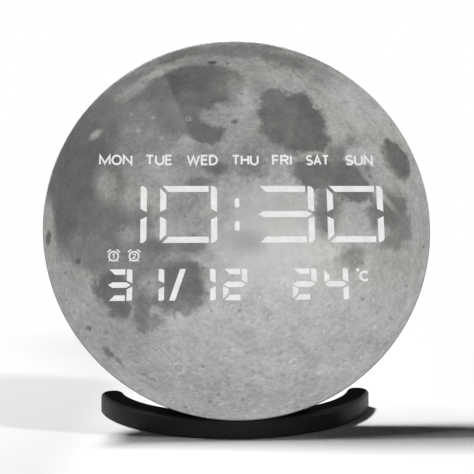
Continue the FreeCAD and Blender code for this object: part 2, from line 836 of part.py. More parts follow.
def add_cover_raised_parts(body):
    """Posts, guides, sleeves and bays that rise from the pan's floor."""
    posts = add_sketch(body, "posts")
    for x, y in cover_screw_places():
        draw_circle(posts, x, y, S["post_radius"])
    pad(body, posts, S["rear_height"])
    guides = add_sketch(body, "key_guides")
    guide_radius = S["key_flange_radius"] + S["key_guide_clearance"] + S["key_guide_wall"]
    for x, y in key_places():
        draw_circle(guides, x, y, guide_radius)
    pad(body, guides, S["shell_wall"] + S["key_guide_height"])
    sleeve = add_sketch(body, "inlet_sleeve")
    sleeve_radius = S["inlet_height"] / 2 + S["inlet_wall"]
    draw_slot(sleeve, *inlet_ends(S["inlet_width"], S["inlet_height"]), sleeve_radius)
    pad(body, sleeve, S["inlet_depth"] + S["inlet_floor"])
    bay = add_sketch(body, "battery_bay")
    draw_rectangle(bay, S["bay_side"], S["bay_rise"], bay_width + S["bay_wall"] * 2,
                   bay_width + S["bay_wall"] * 2)
    pad(body, bay, bay_depth + S["bay_floor"])
    rim = add_sketch(body, "door_rim")
    draw_rectangle(rim, door_side, S["bay_rise"], S["door_width"] + S["bay_wall"] * 2,
                   S["door_height"] + S["bay_wall"] * 2)
    pad(body, rim, S["door_thickness"] + S["bay_floor"])
    boss = add_sketch(body, "door_boss")
    draw_circle(boss, door_screw_side, S["bay_rise"], S["door_boss_radius"])
    pad(body, boss, S["door_screw_length"] + S["bay_floor"])
    hanger = add_sketch(body, "keyhole_box")
    draw_slot(hanger, *keyhole_ends(), S["keyhole_entry_radius"] + S["keyhole_relief"] + S["keyhole_wall"])
    pad(body, hanger, S["shell_wall"] + S["keyhole_depth"] + S["keyhole_backing"])


def inlet_ends(width, height):
    """Middles of the round ends of an oval of that width and height at the power inlet."""
    half = (width - height) / 2
    return (S["inlet_side"] - half, S["inlet_rise"]), (S["inlet_side"] + half, S["inlet_rise"])


def keyhole_ends():
    return (ZERO, S["keyhole_rise"]), (ZERO, S["keyhole_rise"] + S["keyhole_slot_length"])


def contact_tail_places():
    """Where the two battery contacts pass through the bay's floor."""
    side_contact = S["bay_side"] - bay_width / 2 + (bay_width / 2 - S["cell_radius"]) / 2
    return [(S["bay_side"] + S["contact_length"] / 2 - S["contact_tail_width"], S["bay_rise"]),
            (side_contact, S["bay_rise"])]


def add_cover_openings(body):
    """Wells, key holes, inlet, battery bay, keyhole, vents, grille and label recess."""
    wells = add_sketch(body, "screw_wells", -S["overrun"])
    holes = add_sketch(body, "screw_holes", -S["overrun"])
    for x, y in cover_screw_places():
        draw_circle(wells, x, y, S["well_radius"])
        draw_circle(holes, x, y, S["screw_shank_radius"] + S["screw_clearance"])
    pocket(body, wells, S["well_seat_height"] + S["overrun"])
    pocket(body, holes, S["rear_height"] + S["overrun"] * 2)
    keys = add_sketch(body, "key_holes", -S["overrun"])
    guides = add_sketch(body, "guide_bores", S["shell_wall"])
    for x, y in key_places():
        draw_circle(keys, x, y, S["key_radius"] + S["key_hole_clearance"])
        draw_circle(guides, x, y, S["key_flange_radius"] + S["key_guide_clearance"])
    pocket(body, keys, S["shell_wall"] + S["overrun"] * 2)
    pocket(body, guides, S["key_guide_height"] + S["overrun"])
    inlet = add_sketch(body, "inlet", -S["overrun"])
    draw_slot(inlet, *inlet_ends(S["inlet_width"], S["inlet_height"]), S["inlet_height"] / 2)
    pocket(body, inlet, S["inlet_depth"] + S["overrun"])
    port = add_sketch(body, "inlet_port", -S["overrun"])
    port_radius = S["connector_height"] / 2 + S["connector_clearance"]
    draw_slot(port, *inlet_ends(S["connector_width"], S["connector_height"]), port_radius)
    pocket(body, port, S["inlet_depth"] + S["inlet_floor"] + S["overrun"] * 2)
    door = add_sketch(body, "door_seat", -S["overrun"])
    draw_rectangle(door, door_side, S["bay_rise"], S["door_width"], S["door_height"])
    pocket(body, door, S["door_thickness"] + S["overrun"])
    bay = add_sketch(body, "bay_well", -S["overrun"])
    draw_rectangle(bay, S["bay_side"], S["bay_rise"], bay_width, bay_width)
    pocket(body, bay, bay_depth + S["overrun"])
    tails = add_sketch(body, "contact_slots")
    slot = S["contact_tail_width"] + S["door_clearance"] * 2
    for x, y in contact_tail_places():
        draw_rectangle(tails, x, y, slot, slot)
    pocket(body, tails, bay_depth + S["bay_floor"] + S["overrun"])
    pilot = add_sketch(body, "door_pilot")
    draw_circle(pilot, door_screw_side, S["bay_rise"], S["board_screw_radius"] + S["thread_clearance"])
    pocket(body, pilot, S["door_screw_length"])
    undercut = add_sketch(body, "keyhole_undercut", S["shell_wall"])
    draw_slot(undercut, *keyhole_ends(), S["keyhole_entry_radius"] + S["keyhole_relief"])
    pocket(body, undercut, S["keyhole_depth"])
    entry = add_sketch(body, "keyhole_entry", -S["overrun"])
    draw_circle(entry, ZERO, S["keyhole_rise"], S["keyhole_entry_radius"])
    pocket(body, entry, S["shell_wall"] + S["overrun"] * 2)
    slot = add_sketch(body, "keyhole_slot", -S["overrun"])
    draw_slot(slot, *keyhole_ends(), S["keyhole_slot_radius"])
    pocket(body, slot, S["shell_wall"] + S["overrun"] * 2)
    vents = add_sketch(body, "vents", -S["overrun"])
    count = int(S["vent_count"].value)
    for number in range(count):
        x = S["vent_pitch"] * number - S["vent_pitch"] * (count - 1) / 2
        draw_slot(vents, (x, S["vent_rise"]), (x, S["vent_rise"] + S["vent_length"]), S["vent_radius"])
    pocket(body, vents, S["shell_wall"] + S["overrun"] * 2)
    grille = add_sketch(body, "grille", -S["overrun"])
    draw_circle(grille, S["buzzer_side"], S["buzzer_rise"], S["grille_hole_radius"])
    for angle in range(0, 360, 60):
        x, y = around(S["grille_pitch"], angle)
        draw_circle(grille, S["buzzer_side"] + x, S["buzzer_rise"] + y, S["grille_hole_radius"])
    pocket(body, grille, S["shell_wall"] + S["overrun"] * 2)
    label = add_sketch(body, "label_recess", -S["overrun"])
    draw_rectangle(label, S["label_side"], S["label_rise"], S["label_width"], S["label_height"])
    pocket(body, label, S["label_depth"] + S["overrun"])


def make_battery_door():
    body = add_body("battery_door")
    sketch = add_sketch(body, "outline")
    draw_rectangle(sketch, door_side, S["bay_rise"], S["door_width"] - S["door_clearance"] * 2,
                   S["door_height"] - S["door_clearance"] * 2)
    pad(body, sketch, S["door_thickness"])
    recess = add_sketch(body, "screw_recess", -S["overrun"])
    recess_radius = S["board_screw_head_radius"] + S["screw_clearance"]
    draw_circle(recess, door_screw_side, S["bay_rise"], recess_radius)
    pocket(body, recess, S["board_screw_head_height"] + S["overrun"])
    hole = add_sketch(body, "screw_hole", -S["overrun"])
    draw_circle(hole, door_screw_side, S["bay_rise"], S["board_screw_radius"] + S["screw_clearance"])
    pocket(body, hole, S["door_thickness"] + S["overrun"] * 2)
    return body


def make_screws(name, places, head, shank):
    """Pan-head screws in one node. Head and shank are each a radius, a start and an end height."""
    body = add_body(name)
    for label, (radius, low, high) in (("shanks", shank), ("heads", head)):
        sketch = add_sketch(body, label, low)
        for x, y in places:
            draw_circle(sketch, x, y, radius)
        pad(body, sketch, high - low)
    cross = add_sketch(body, "recesses", head[1] - S["overrun"])
    for x, y in places:
        draw_cross(cross, x, y, head[0])
    pocket(body, cross, (head[2] - head[1]) / 2 + S["overrun"])
    return body


def draw_cross(sketch, x, y, radius):
    """A plus-shaped driver recess."""
    reach = radius * RECESS_SHARES[0]
    arm = radius * RECESS_SHARES[1]
    points = ((reach, arm), (arm, arm), (arm, reach), (-arm, reach), (-arm, arm), (-reach, arm),
              (-reach, -arm), (-arm, -arm), (-arm, -reach), (arm, -reach), (arm, -arm), (reach, -arm))
    draw_polygon(sketch, [(x + across, y + along) for across, along in points])


# Board and what it carries

def make_circuit_board():
    body = add_body("circuit_board")
    sketch = add_sketch(body, "outline", board_back)
    draw_rectangle(sketch, ZERO, S["block_raise"], S["board_width"], S["board_height"])
    pad(body, sketch, S["board_thickness"])
    round_edges(body, stands_upright, S["board_round"])
    holes = add_sketch(body, "screw_holes", board_back - S["overrun"])
    for x, y in board_screw_places():
        draw_circle(holes, x, y, S["board_screw_radius"] + S["screw_clearance"])
    pocket(body, holes, S["board_thickness"] + S["overrun"] * 2)
    return body


def make_blocks(name, places, width, height, depth):
    """Oblong parts in one node, soldered to the back of the board."""
    body = add_body(name)
    sketch = add_sketch(body, "outlines", board_back - depth)
    for x, y in places:
        draw_rectangle(sketch, x, y, width, height)
    pad(body, sketch, depth)
    return body


def make_capacitor():
    body = add_body("capacitor")
    sketch = add_sketch(body, "can", board_back - S["capacitor_height"])
    draw_circle(sketch, S["capacitor_side"], S["capacitor_rise"], S["capacitor_radius"])
    pad(body, sketch, S["capacitor_height"])
    return body


def make_buzzer():
    body = add_body("buzzer")
    low = board_back - S["buzzer_height"]
    sketch = add_sketch(body, "case", low)
    draw_circle(sketch, S["buzzer_side"], S["buzzer_rise"], S["buzzer_radius"])
    pad(body, sketch, S["buzzer_height"])
    port = add_sketch(body, "port", low - S["overrun"])
    draw_circle(port, S["buzzer_side"], S["buzzer_rise"], S["buzzer_port_radius"])
    pocket(body, port, S["buzzer_port_depth"] + S["overrun"])
    return body


def make_thermistor():
    """A bead below the board's lower edge, near the vents, on two leads from the board's back."""
    body = add_body("thermistor")
    board_edge = S["block_raise"] - S["board_height"] / 2
    height = board_back - S["sensor_radius"]
    leads = add_sketch(body, "leads", -board_edge, role="XZ_Plane")
    for side in (-1, 1):
        draw_circle(leads, S["sensor_lead_spacing"] * side / 2, height, S["sensor_lead_radius"])
    pad(body, leads, S["sensor_drop"])
    pads = add_sketch(body, "ends", -board_edge - S["sensor_radius"] * 2, role="XZ_Plane")
    foot_middle = height + S["sensor_radius"] / 2
    draw_rectangle(pads, ZERO, foot_middle, S["sensor_lead_spacing"] * 2, S["sensor_radius"])
    pad(body, pads, S["sensor_radius"] * 3)
    bead = add_sketch(body, "bead", S["sensor_drop"] - board_edge, role="XZ_Plane")
    draw_circle(bead, ZERO, height, S["sensor_radius"])
    pad(body, bead, S["sensor_radius"] * 2)
    return body


def make_power_socket():
    """An upright connector: an oval metal shell and the thin tongue inside it."""
    length = board_back - S["inlet_depth"]
    shell = add_body("power_socket_shell")
    ends = inlet_ends(S["connector_width"], S["connector_height"])
    outside = add_sketch(shell, "outside", S["inlet_depth"])
    draw_slot(outside, *ends, S["connector_height"] / 2)
    pad(shell, outside, length)
    inside = add_sketch(shell, "inside", S["inlet_depth"] - S["overrun"])
    inner_height = S["connector_height"] - S["connector_wall"] * 2
    draw_slot(inside, *ends, inner_height / 2)
    pocket(shell, inside, length - S["connector_base"] + S["overrun"])
    tongue = add_body("power_socket_tongue")
    blade = add_sketch(tongue, "blade", S["inlet_depth"] + S["tongue_setback"])
    draw_rectangle(blade, S["inlet_side"], S["inlet_rise"], S["tongue_width"], S["tongue_thickness"])
    pad(tongue, blade, length - S["connector_base"] - S["tongue_setback"])
    return [shell, tongue]


def make_key_switches():
    """The switches' square cases, each with the bore that its button slides in."""
    body = add_body("key_switches")
    cases = add_sketch(body, "cases", switch_face)
    bores = add_sketch(body, "bores", switch_face - S["overrun"])
    for x, y in key_places():
        draw_rectangle(cases, x, y, S["switch_width"], S["switch_width"])
        draw_circle(bores, x, y, S["switch_button_radius"] + S["switch_button_clearance"])
    pad(body, cases, S["switch_height"])
    pocket(body, bores, S["switch_bore_depth"] + S["overrun"])
    return body


def make_key(name, place):
    """A push key: domed cap through the cover, flange that keeps it in, stem to the switch."""
    body = add_body(name + "_key")
    x, y = place
    cap = add_sketch(body, "cap", -S["key_proud"])
    draw_circle(cap, x, y, S["key_radius"])
    pad(body, cap, S["key_proud"] + key_base)
    flange = add_sketch(body, "flange", key_base)
    draw_circle(flange, x, y, S["key_flange_radius"])
    pad(body, flange, S["key_flange_height"])
    stem = add_sketch(body, "stem", key_base)
    draw_circle(stem, x, y, S["key_stem_radius"])
    pad(body, stem, button_tip - key_base)
    round_edges(body, lambda edge: is_rim(edge, S["key_radius"], -S["key_proud"]), S["key_dome_round"])
    return body


def make_switch_button(name, place):
    body = add_body(name + "_switch_button")
    sketch = add_sketch(body, "button", button_tip)
    draw_circle(sketch, place[0], place[1], S["switch_button_radius"])
    pad(body, sketch, S["switch_button_proud"] + S["switch_button_depth"])
    return body


def make_coin_battery():
    body = add_body("coin_battery")
    can = add_sketch(body, "can", cell_base)
    draw_circle(can, S["bay_side"], S["bay_rise"], S["cell_radius"])
    pad(body, can, S["cell_height"])
    return body


def make_battery_contacts():
    """A flat spring over the cell and a block spring at its side, each with a tail to the board."""
    body = add_body("battery_contacts")
    flat = add_sketch(body, "flat_spring", cell_top)
    draw_rectangle(flat, S["bay_side"], S["bay_rise"], S["contact_length"], S["contact_width"])
    pad(body, flat, S["contact_thickness"])
    side = add_sketch(body, "side_spring", bay_depth - S["side_contact_height"])
    gap = bay_width / 2 - S["cell_radius"]
    thickness = gap - S["cell_float"]
    x = S["bay_side"] - bay_width / 2 + thickness / 2
    draw_rectangle(side, x, S["bay_rise"], thickness, S["contact_width"])
    pad(body, side, S["side_contact_height"])
    tails = add_sketch(body, "tails", bay_depth - S["contact_thickness"])
    for x, y in contact_tail_places():
        draw_rectangle(tails, x, y, S["contact_tail_width"], S["contact_tail_width"])
    pad(body, tails, board_back - bay_depth + S["contact_thickness"])
    return body


# Stand

def make_stand_ring():
    """The C-shaped tray, hollow from below, with the leaning tongue that carries the head."""
    body = add_body("stand_ring")
    outline = add_sketch(body, "outline", S["foot_proud"])
    draw_band(outline, ring_outer, ring_inner)
    pad(body, outline, S["ring_height"])
    round_edges(body, lambda edge: near(edge.BoundBox.ZMin, ring_top), S["ring_top_round"])
    hollow = add_sketch(body, "hollow", S["foot_proud"] - S["overrun"])
    draw_band(hollow, ring_outer - S["ring_wall"], ring_inner + S["ring_wall"])
    pocket(body, hollow, S["ring_height"] - S["ring_wall"] + S["overrun"])
    rebate = add_sketch(body, "base_rebate", S["foot_proud"] - S["overrun"])
    slack = S["base_inset"] - S["base_clearance"]
    draw_band(rebate, ring_outer - slack, ring_inner + slack)
    pocket(body, rebate, S["base_thickness"] + S["overrun"])
    bosses = add_sketch(body, "bosses", S["foot_proud"] + S["base_thickness"])
    for x, y in stand_screw_places():
        draw_circle(bosses, x, y, S["stand_boss_radius"])
    pad(body, bosses, S["ring_height"] - S["base_thickness"] - S["ring_wall"] / 2)
    add_peg(body)
    add_face_notch(body)
    pilots = add_sketch(body, "pilots", S["foot_proud"])
    for x, y in stand_screw_places():
        draw_circle(pilots, x, y, S["board_screw_radius"] + S["thread_clearance"])
    pocket(body, pilots, S["stand_screw_length"] + S["thread_clearance"])
    return body


def peg_line(depth, reach):
    """Y and Z, in the stand frame, of a place on the head's middle plane.

    Depth is measured from the face's front and reach from the housing's lowest line, up the face."""
    up = reach - housing_radius
    y = face_middle_y + depth * cosine(S["lean_angle"]) + up * sine(S["lean_angle"])
    z = face_middle_z - depth * sine(S["lean_angle"]) + up * cosine(S["lean_angle"])
    return y, z


def add_peg(body):
    """The tongue's side outline, carried down into the tray and padded across its width."""
    half = S["peg_thickness"] / 2
    near_side = S["peg_depth"] - half
    far_side = S["peg_depth"] + half
    chamfer = S["peg_tip_chamfer"]
    profile = add_sketch(body, "peg", role="YZ_Plane")
    draw_polygon(profile, (
        peg_line(near_side, -S["peg_root"]), peg_line(far_side, -S["peg_root"]),
        peg_line(far_side, S["peg_reach"] - chamfer), peg_line(far_side - chamfer, S["peg_reach"]),
        peg_line(near_side + chamfer, S["peg_reach"]), peg_line(near_side, S["peg_reach"] - chamfer)))
    pad(body, profile, S["peg_width"]).Midplane = True


def add_face_notch(body):
    """A shallow notch in the tray's front edge that the face's lowest arc dips into."""
    notch = body.newObject("PartDesign::SubtractiveCylinder", "face_notch")
    plane = [feature for feature in body.Origin.OriginFeatures if feature.Role == "XY_Plane"][0]
    notch.AttachmentSupport = (plane, "")
    notch.MapMode = "FlatFace"
    bind(notch, "Radius", face_radius + S["face_notch_clearance"])
    bind(notch, "Height", S["face_thickness"] + S["face_notch_clearance"] + S["overrun"])
    notch.AttachmentOffset = FreeCAD.Placement(Vector(), FreeCAD.Rotation(Vector(1, 0, 0), 1))
    back = S["face_thickness"] + S["face_notch_clearance"]
    bind(notch, ".AttachmentOffset.Base.y", face_middle_y + back * cosine(S["lean_angle"]))
    bind(notch, ".AttachmentOffset.Base.z", face_middle_z - back * sine(S["lean_angle"]))
    bind(notch, ".AttachmentOffset.Rotation.Angle", sized(90) - S["lean_angle"])


def stand_screw_places():
    angles = (S["stand_screw_angle_inner"], S["stand_screw_angle_outer"])
    return [around_front(ring_middle, turn) for angle in angles for turn in (-angle, angle)]


def foot_places():
    angles = (S["foot_angle_inner"], S["foot_angle_outer"])
    places = [around_front(ring_middle, turn) for angle in angles for turn in (-angle, angle)]
    return [(ZERO, -ring_middle)] + places


def make_stand_base():
    """The flat plate that closes the tray from below, with seats for the feet and screws."""
    body = add_body("stand_base")
    outline = add_sketch(body, "outline", S["foot_proud"])
    draw_band(outline, ring_outer - S["base_inset"], ring_inner + S["base_inset"])
    pad(body, outline, S["base_thickness"])
    seats = add_sketch(body, "foot_seats", -S["overrun"])
    for x, y in foot_places():
        draw_circle(seats, x, y, S["foot_radius"])
    pocket(body, seats, S["foot_height"] + S["overrun"])
    recesses = add_sketch(body, "screw_recesses", -S["overrun"])
    holes = add_sketch(body, "screw_holes", -S["overrun"])
    for x, y in stand_screw_places():
        draw_circle(recesses, x, y, S["board_screw_head_radius"] + S["thread_clearance"])
        draw_circle(holes, x, y, S["board_screw_radius"] + S["thread_clearance"])
    pocket(body, recesses, S["foot_proud"] + S["board_screw_head_height"] + S["overrun"])
    pocket(body, holes, S["foot_proud"] + S["base_thickness"] + S["overrun"] * 2)
    return body


def make_foot_pads():
    body = add_body("foot_pads")
    sketch = add_sketch(body, "pads")
    for x, y in foot_places():
        draw_circle(sketch, x, y, S["foot_radius"])
    pad(body, sketch, S["foot_height"])
    return body


def make_head():
    """Every piece of the head, in the bench frame."""
    pieces = make_lit_figures() + [
        make_face_panel(),
        make_diffuser_film(),
        make_segment_block(),
        make_segment_leds(),
        make_front_shell(),
        make_rear_cover(),
        make_circuit_board(),
        make_capacitor(),
        make_buzzer(),
        make_thermistor(),
        make_key_switches(),
        make_coin_battery(),
        make_battery_contacts(),
        make_battery_door(),
    ]
    places = [(-S["chip_side"], -S["chip_rise"]), (S["chip_side"], S["chip_rise"])]
    sides = (S["chip_length"], S["chip_width"], S["chip_height"])
    pieces.append(make_blocks("driver_chips", places, *sides))
    place = [(S["crystal_side"], S["crystal_rise"])]
    sides = (S["crystal_length"], S["crystal_width"], S["crystal_height"])
    pieces.append(make_blocks("crystal", place, *sides))
    pieces += make_power_socket()
    seat = S["well_seat_height"]
    head = (S["screw_head_radius"], seat - S["screw_head_height"], seat)
    shank = (S["screw_shank_radius"], seat, S["rear_height"] + S["screw_grip"])
    pieces.append(make_screws("cover_screws", cover_screw_places(), head, shank))
    head = (S["board_screw_head_radius"], board_back - S["board_screw_head_height"], board_back)
    shank = (S["board_screw_radius"], board_back, board_front + S["board_screw_grip"])
    pieces.append(make_screws("board_screws", board_screw_places(), head, shank))
    place = [(door_screw_side, S["bay_rise"])]
    head = (S["board_screw_head_radius"], ZERO, S["board_screw_head_height"])
    tip = S["door_screw_length"] - S["thread_clearance"]
    shank = (S["board_screw_radius"], S["board_screw_head_height"], tip)
    pieces.append(make_screws("battery_door_screw", place, head, shank))
    for name, place in zip(KEY_NAMES, key_places()):
        pieces.append(make_key(name, place))
        pieces.append(make_switch_button(name, place))
    return pieces


def make_stand():
    """Every piece of the stand, in the stand frame."""
    low = S["foot_proud"]
    head = (S["board_screw_head_radius"], low, low + S["board_screw_head_height"])
    shank = (S["board_screw_radius"], low + S["board_screw_head_height"], low + S["stand_screw_length"])
    screws = make_screws("stand_screws", stand_screw_places(), head, shank)
    return [make_stand_ring(), make_stand_base(), make_foot_pads(), screws]


def check_and_write(pieces):
    """Stop on any failed object or bad solid, then write one file per piece."""
    doc.recompute()
    for thing in doc.Objects:
        if "Invalid" in thing.State or "Error" in thing.State:
            raise RuntimeError(thing.Name + " failed: " + str(thing.State))
    for piece in pieces:
        if piece.Shape.isNull() or not piece.Shape.isValid() or not piece.Shape.Solids:
            raise RuntimeError(piece.Label + " has no valid solid")
    os.makedirs("parts", exist_ok=True)
    for piece in pieces:
        piece.Shape.exportStep(os.path.join("parts", piece.Label + ".step"))
        print(piece.Label, len(piece.Shape.Solids), "solids", round(piece.Shape.Volume, 1), "mm3")


head_pieces = make_head()
stand_pieces = make_stand()
doc.recompute()
for piece in head_pieces:
    place_in_head(piece)
for piece in stand_pieces:
    place_in_stand(piece)
check_and_write(head_pieces + stand_pieces)
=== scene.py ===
import math

import bpy
from mathutils import Matrix, Vector


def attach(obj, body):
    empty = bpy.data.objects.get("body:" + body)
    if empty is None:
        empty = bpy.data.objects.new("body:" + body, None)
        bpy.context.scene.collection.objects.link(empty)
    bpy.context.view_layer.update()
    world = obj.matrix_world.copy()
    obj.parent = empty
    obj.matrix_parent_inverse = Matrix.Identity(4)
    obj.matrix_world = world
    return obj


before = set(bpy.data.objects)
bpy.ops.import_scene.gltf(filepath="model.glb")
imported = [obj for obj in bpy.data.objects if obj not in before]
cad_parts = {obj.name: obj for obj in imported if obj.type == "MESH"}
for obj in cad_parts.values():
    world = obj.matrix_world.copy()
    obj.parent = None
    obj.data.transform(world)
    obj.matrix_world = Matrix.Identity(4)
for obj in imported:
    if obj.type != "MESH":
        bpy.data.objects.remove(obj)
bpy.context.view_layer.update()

# Looks of the lit desk clock. The print, the words and the signs are in millimetres until they are
# scaled by MM, and the stage is in metres.
MM = 0.001
LEAN = math.radians(12)
FACE_TURN = (math.pi / 2 - LEAN, 0, 0)
FACE_CENTRE = Vector((0, -12.164, 107.215)) * MM
FACE_NORMAL = Vector((0, -math.cos(LEAN), math.sin(LEAN)))
FACE = Matrix.Translation(FACE_CENTRE) @ Matrix.Rotation(FACE_TURN[0], 4, "X")

# Reach of a pattern along the way in which it doesn't change
ENDLESS = 1e4
# Where most values of a noise lie
NOISE_SPAN = (0.3, 0.7)


def grey(level):
    return (level, level, level, 1)


# Node trees

class Nodes:
    """A node tree and short ways to add nodes to it."""

    def __init__(self, tree):
        self.tree = tree
        self.tree.nodes.clear()

    def add(self, kind, inputs=None, **settings):
        """A new node. An input is given by name or number, as a value or as another node's output."""
        node = self.tree.nodes.new(kind)
        for key, value in settings.items():
            setattr(node, key, value)
        for key, value in (inputs or {}).items():
            self.feed(node.inputs[key], value)
        return node

    def feed(self, socket, value):
        """Link an output to the socket, or set the socket to a value."""
        if isinstance(value, bpy.types.NodeSocket):
            self.tree.links.new(value, socket)
        else:
            socket.default_value = value

    def math(self, operation, *values):
        node = self.add("ShaderNodeMath", dict(enumerate(values)), operation=operation)
        return node.outputs[0]

    def vector(self, operation, *values):
        node = self.add("ShaderNodeVectorMath", dict(enumerate(values)), operation=operation)
        if operation in ("LENGTH", "DOT_PRODUCT"):
            return node.outputs["Value"]
        return node.outputs["Vector"]

    def scaled(self, vector, factor):
        node = self.add("ShaderNodeVectorMath", {0: vector, "Scale": factor}, operation="SCALE")
        return node.outputs["Vector"]

    def split(self, vector):
        """The vector's parts along X, Y and Z."""
        return self.add("ShaderNodeSeparateXYZ", {0: vector}).outputs

    def joined(self, x=0.0, y=0.0, z=0.0):
        return self.add("ShaderNodeCombineXYZ", {0: x, 1: y, 2: z}).outputs[0]

    def frame_of(self, vector, location, turn, scale):
        """Coordinates as seen from a frame placed, turned and scaled like that."""
        inputs = {"Vector": vector, "Location": location, "Rotation": turn, "Scale": scale}
        return self.add("ShaderNodeMapping", inputs, vector_type="TEXTURE").outputs[0]

    def noise(self, vector, grain, detail=3.0, roughness=0.5, output="Fac"):
        """Noise whose features are about grain long in the units of the vector."""
        inputs = {"Vector": vector, "Scale": 1 / grain, "Detail": detail, "Roughness": roughness}
        return self.add("ShaderNodeTexNoise", inputs).outputs[output]

    def swing(self, vector, grain, detail, roughness):
        """Noise that goes up and down about zero."""
        return self.math("SUBTRACT", self.noise(vector, grain, detail, roughness), 0.5)

    def drift(self, noise, low, high):
        """Noise that wanders from low to high."""
        return self.spread(noise, *NOISE_SPAN, low, high)

    def spread(self, value, low, high, to_low, to_high, smooth=False):
        """Carry the span from low to high over to another span, and hold it at its ends."""
        inputs = {0: value, 1: low, 2: high, 3: to_low, 4: to_high}
        kind = "SMOOTHSTEP" if smooth else "LINEAR"
        return self.add("ShaderNodeMapRange", inputs, interpolation_type=kind).outputs[0]

    def blend(self, factor, first, second):
        """A number between two numbers."""
        node = self.add("ShaderNodeMix", {0: factor, 2: first, 3: second}, data_type="FLOAT")
        return node.outputs[0]

    def tint(self, factor, first, second):
        """A colour between two colours."""
        inputs = {0: factor, 6: first, 7: second}
        return self.add("ShaderNodeMix", inputs, data_type="RGBA").outputs[2]

    def bump(self, height, distance, strength=1.0):
        inputs = {"Height": height, "Distance": distance, "Strength": strength}
        return self.add("ShaderNodeBump", inputs).outputs[0]

    def emission(self, strength):
        return self.add("ShaderNodeEmission", {"Color": grey(1.0), "Strength": strength})

    def mixed(self, factor, first, second):
        """A shader between two shaders."""
        return self.add("ShaderNodeMixShader", {0: factor, 1: first.outputs[0], 2: second.outputs[0]})

    def seen(self):
        """One for rays from the camera, from gloss or through clear pieces, and zero for lighting."""
        path = self.add("ShaderNodeLightPath").outputs
        indirect = self.math("MAXIMUM", path["Is Glossy Ray"], path["Is Transmission Ray"])
        return self.math("MAXIMUM", path["Is Camera Ray"], indirect)

    def end_with(self, shader, kind="ShaderNodeOutputMaterial"):
        output = self.add(kind)
        self.tree.links.new(shader.outputs[0], output.inputs["Surface"])


class Finish(Nodes):
    """A material and its node tree."""

    def __init__(self, name):
        self.material = bpy.data.materials.new(name)
        self.material.use_nodes = True
        super().__init__(self.material.node_tree)
        coordinates = self.add("ShaderNodeTexCoord").outputs
        self.place = coordinates["Object"]
        self.normal = coordinates["Normal"]

    def shade(self, **inputs):
        """End with a principled shader. Names are its sockets, with underscores for spaces."""
        named = {name.replace("_", " "): value for name, value in inputs.items()}
        self.end_with(self.add("ShaderNodeBsdfPrincipled", named))
        return self.material


def in_mm(finish):
    return finish.scaled(finish.place, 1 / MM)


def on_face(finish):
    """Millimetres right of, above and out from the face's middle."""
    return finish.frame_of(finish.place, FACE_CENTRE, FACE_TURN, (MM, MM, MM))


# The moon print. Places are millimetres right of and above the face's middle, and levels are
# display greys. Each row is x, y, half width, half height, turn in degrees, level, softness.

# Broad bright parts and the ground between the seas
HIGHLANDS = (
    (0, -60, 95, 50, 0, 171, 0.45),
    (0, 98, 80, 14, 0, 148, 0.5),
    (-82, -45, 34, 40, 20, 156, 0.5),
    (82, 42, 30, 50, 20, 177, 0.4),
    (88, -20, 22, 60, 0, 166, 0.5),
    (2, 58, 13, 26, -10, 158, 0.5),
    (0, 30, 34, 16, 0, 143, 0.5),
    (20, -42, 64, 13, 0, 183, 0.9),
    (-30, -84, 36, 11, -22, 154, 0.9),
    (-60, -50, 13, 13, 0, 146, 0.9),
    (8, -90, 40, 10, 0, 158, 0.9),
    (51, 75, 15, 8, -32, 140, 0.8),
    (18, 2, 33, 25, 0, 184, 0.6),
    # Painted glow: this brightest row lightens the middle of the print as painted light
    (26, -18, 33, 18, 0, 202, 0.7),
)

# Seas: along the top and down the left side first, then down the right side
SEAS = (
    (-54, 80, 22, 4.5, 35, 114, 0.8),
    (-33, 90, 15, 2.4, 16, 106, 0.7),
    (-9, 94, 26, 3.6, 3, 120, 0.6),
    (26, 89.5, 16, 4.2, -16, 122, 0.5),
    (-21, 74, 22.5, 13, 6, 101, 0.17),
    (-43, 62, 17, 19, 25, 99, 0.2),
    (-38, 73, 10, 7, 35, 90, 0.5),
    (-24.5, 58, 11.5, 11.5, 0, 112, 0.3),
    (-17, 47.5, 10, 6, 0, 107, 0.2),
    (-60, 50, 18, 18, 35, 117, 0.3),
    (-55, 41, 20, 12, 0, 131, 0.4),
    (-80, 40, 16, 30, -22, 108, 0.3),
    (-77, 12, 22, 34, 6, 102, 0.22),
    (-62, -1, 18, 15, 0, 114, 0.4),
    (-45, -13, 14, 6, -5, 118, 0.5),
    (8, 31, 7, 6, 0, 124, 0.6),
    (-74, -15, 14, 9, -20, 124, 0.4),
    (-24, -12, 7, 5, 0, 124, 0.6),
    (-55, -32, 5, 8, 0, 128, 0.6),
    (-50, -23, 12, 9, 0, 130, 0.55),
    (-65.3, -34, 8.8, 9.6, 10, 105, 0.32),
    (-61, -43, 6, 6, 30, 110, 0.35),
    (-29, -31.5, 12.2, 12, -12, 108, 0.36),
    (-32, -42, 9, 5, 0, 122, 0.4),
    (-46, -40, 7, 5.5, -10, 118, 0.4),
    (-49, -50, 4, 6, 10, 116, 0.4),
    (-42, -52, 5, 3.5, 0, 130, 0.5),
    (29.3, 54, 17.6, 16, -14, 102, 0.15),
    (26, 54, 11, 10, -14, 114, 0.8),
    (19, 66.5, 7.5, 6, 0, 118, 0.3),
    (42, 43, 7, 6, -30, 108, 0.3),
    (50, 24.5, 21.5, 9.5, -9, 109, 0.2),
    (38, 25, 8, 9, 0, 114, 0.3),
    (46, 6, 7, 13, 0, 126, 0.5),
    (61, 14, 10, 4.5, -8, 115, 0.3),
    (72, 3, 4.5, 8, 10, 124, 0.4),
    (83.3, 32.5, 6.6, 12, 22, 106, 0.18),
    (81.5, 6, 7.8, 12.4, 14, 117, 0.26),
    (85.5, -5, 5, 8, 0, 130, 0.35),
    (80, -11, 6, 5, 0, 132, 0.5),
    (57, -20, 7, 7, 0, 146, 0.6),
    (52, 36, 5, 6, -30, 128, 0.5),
    (60, 44, 4, 5, 0, 138, 0.5),
)

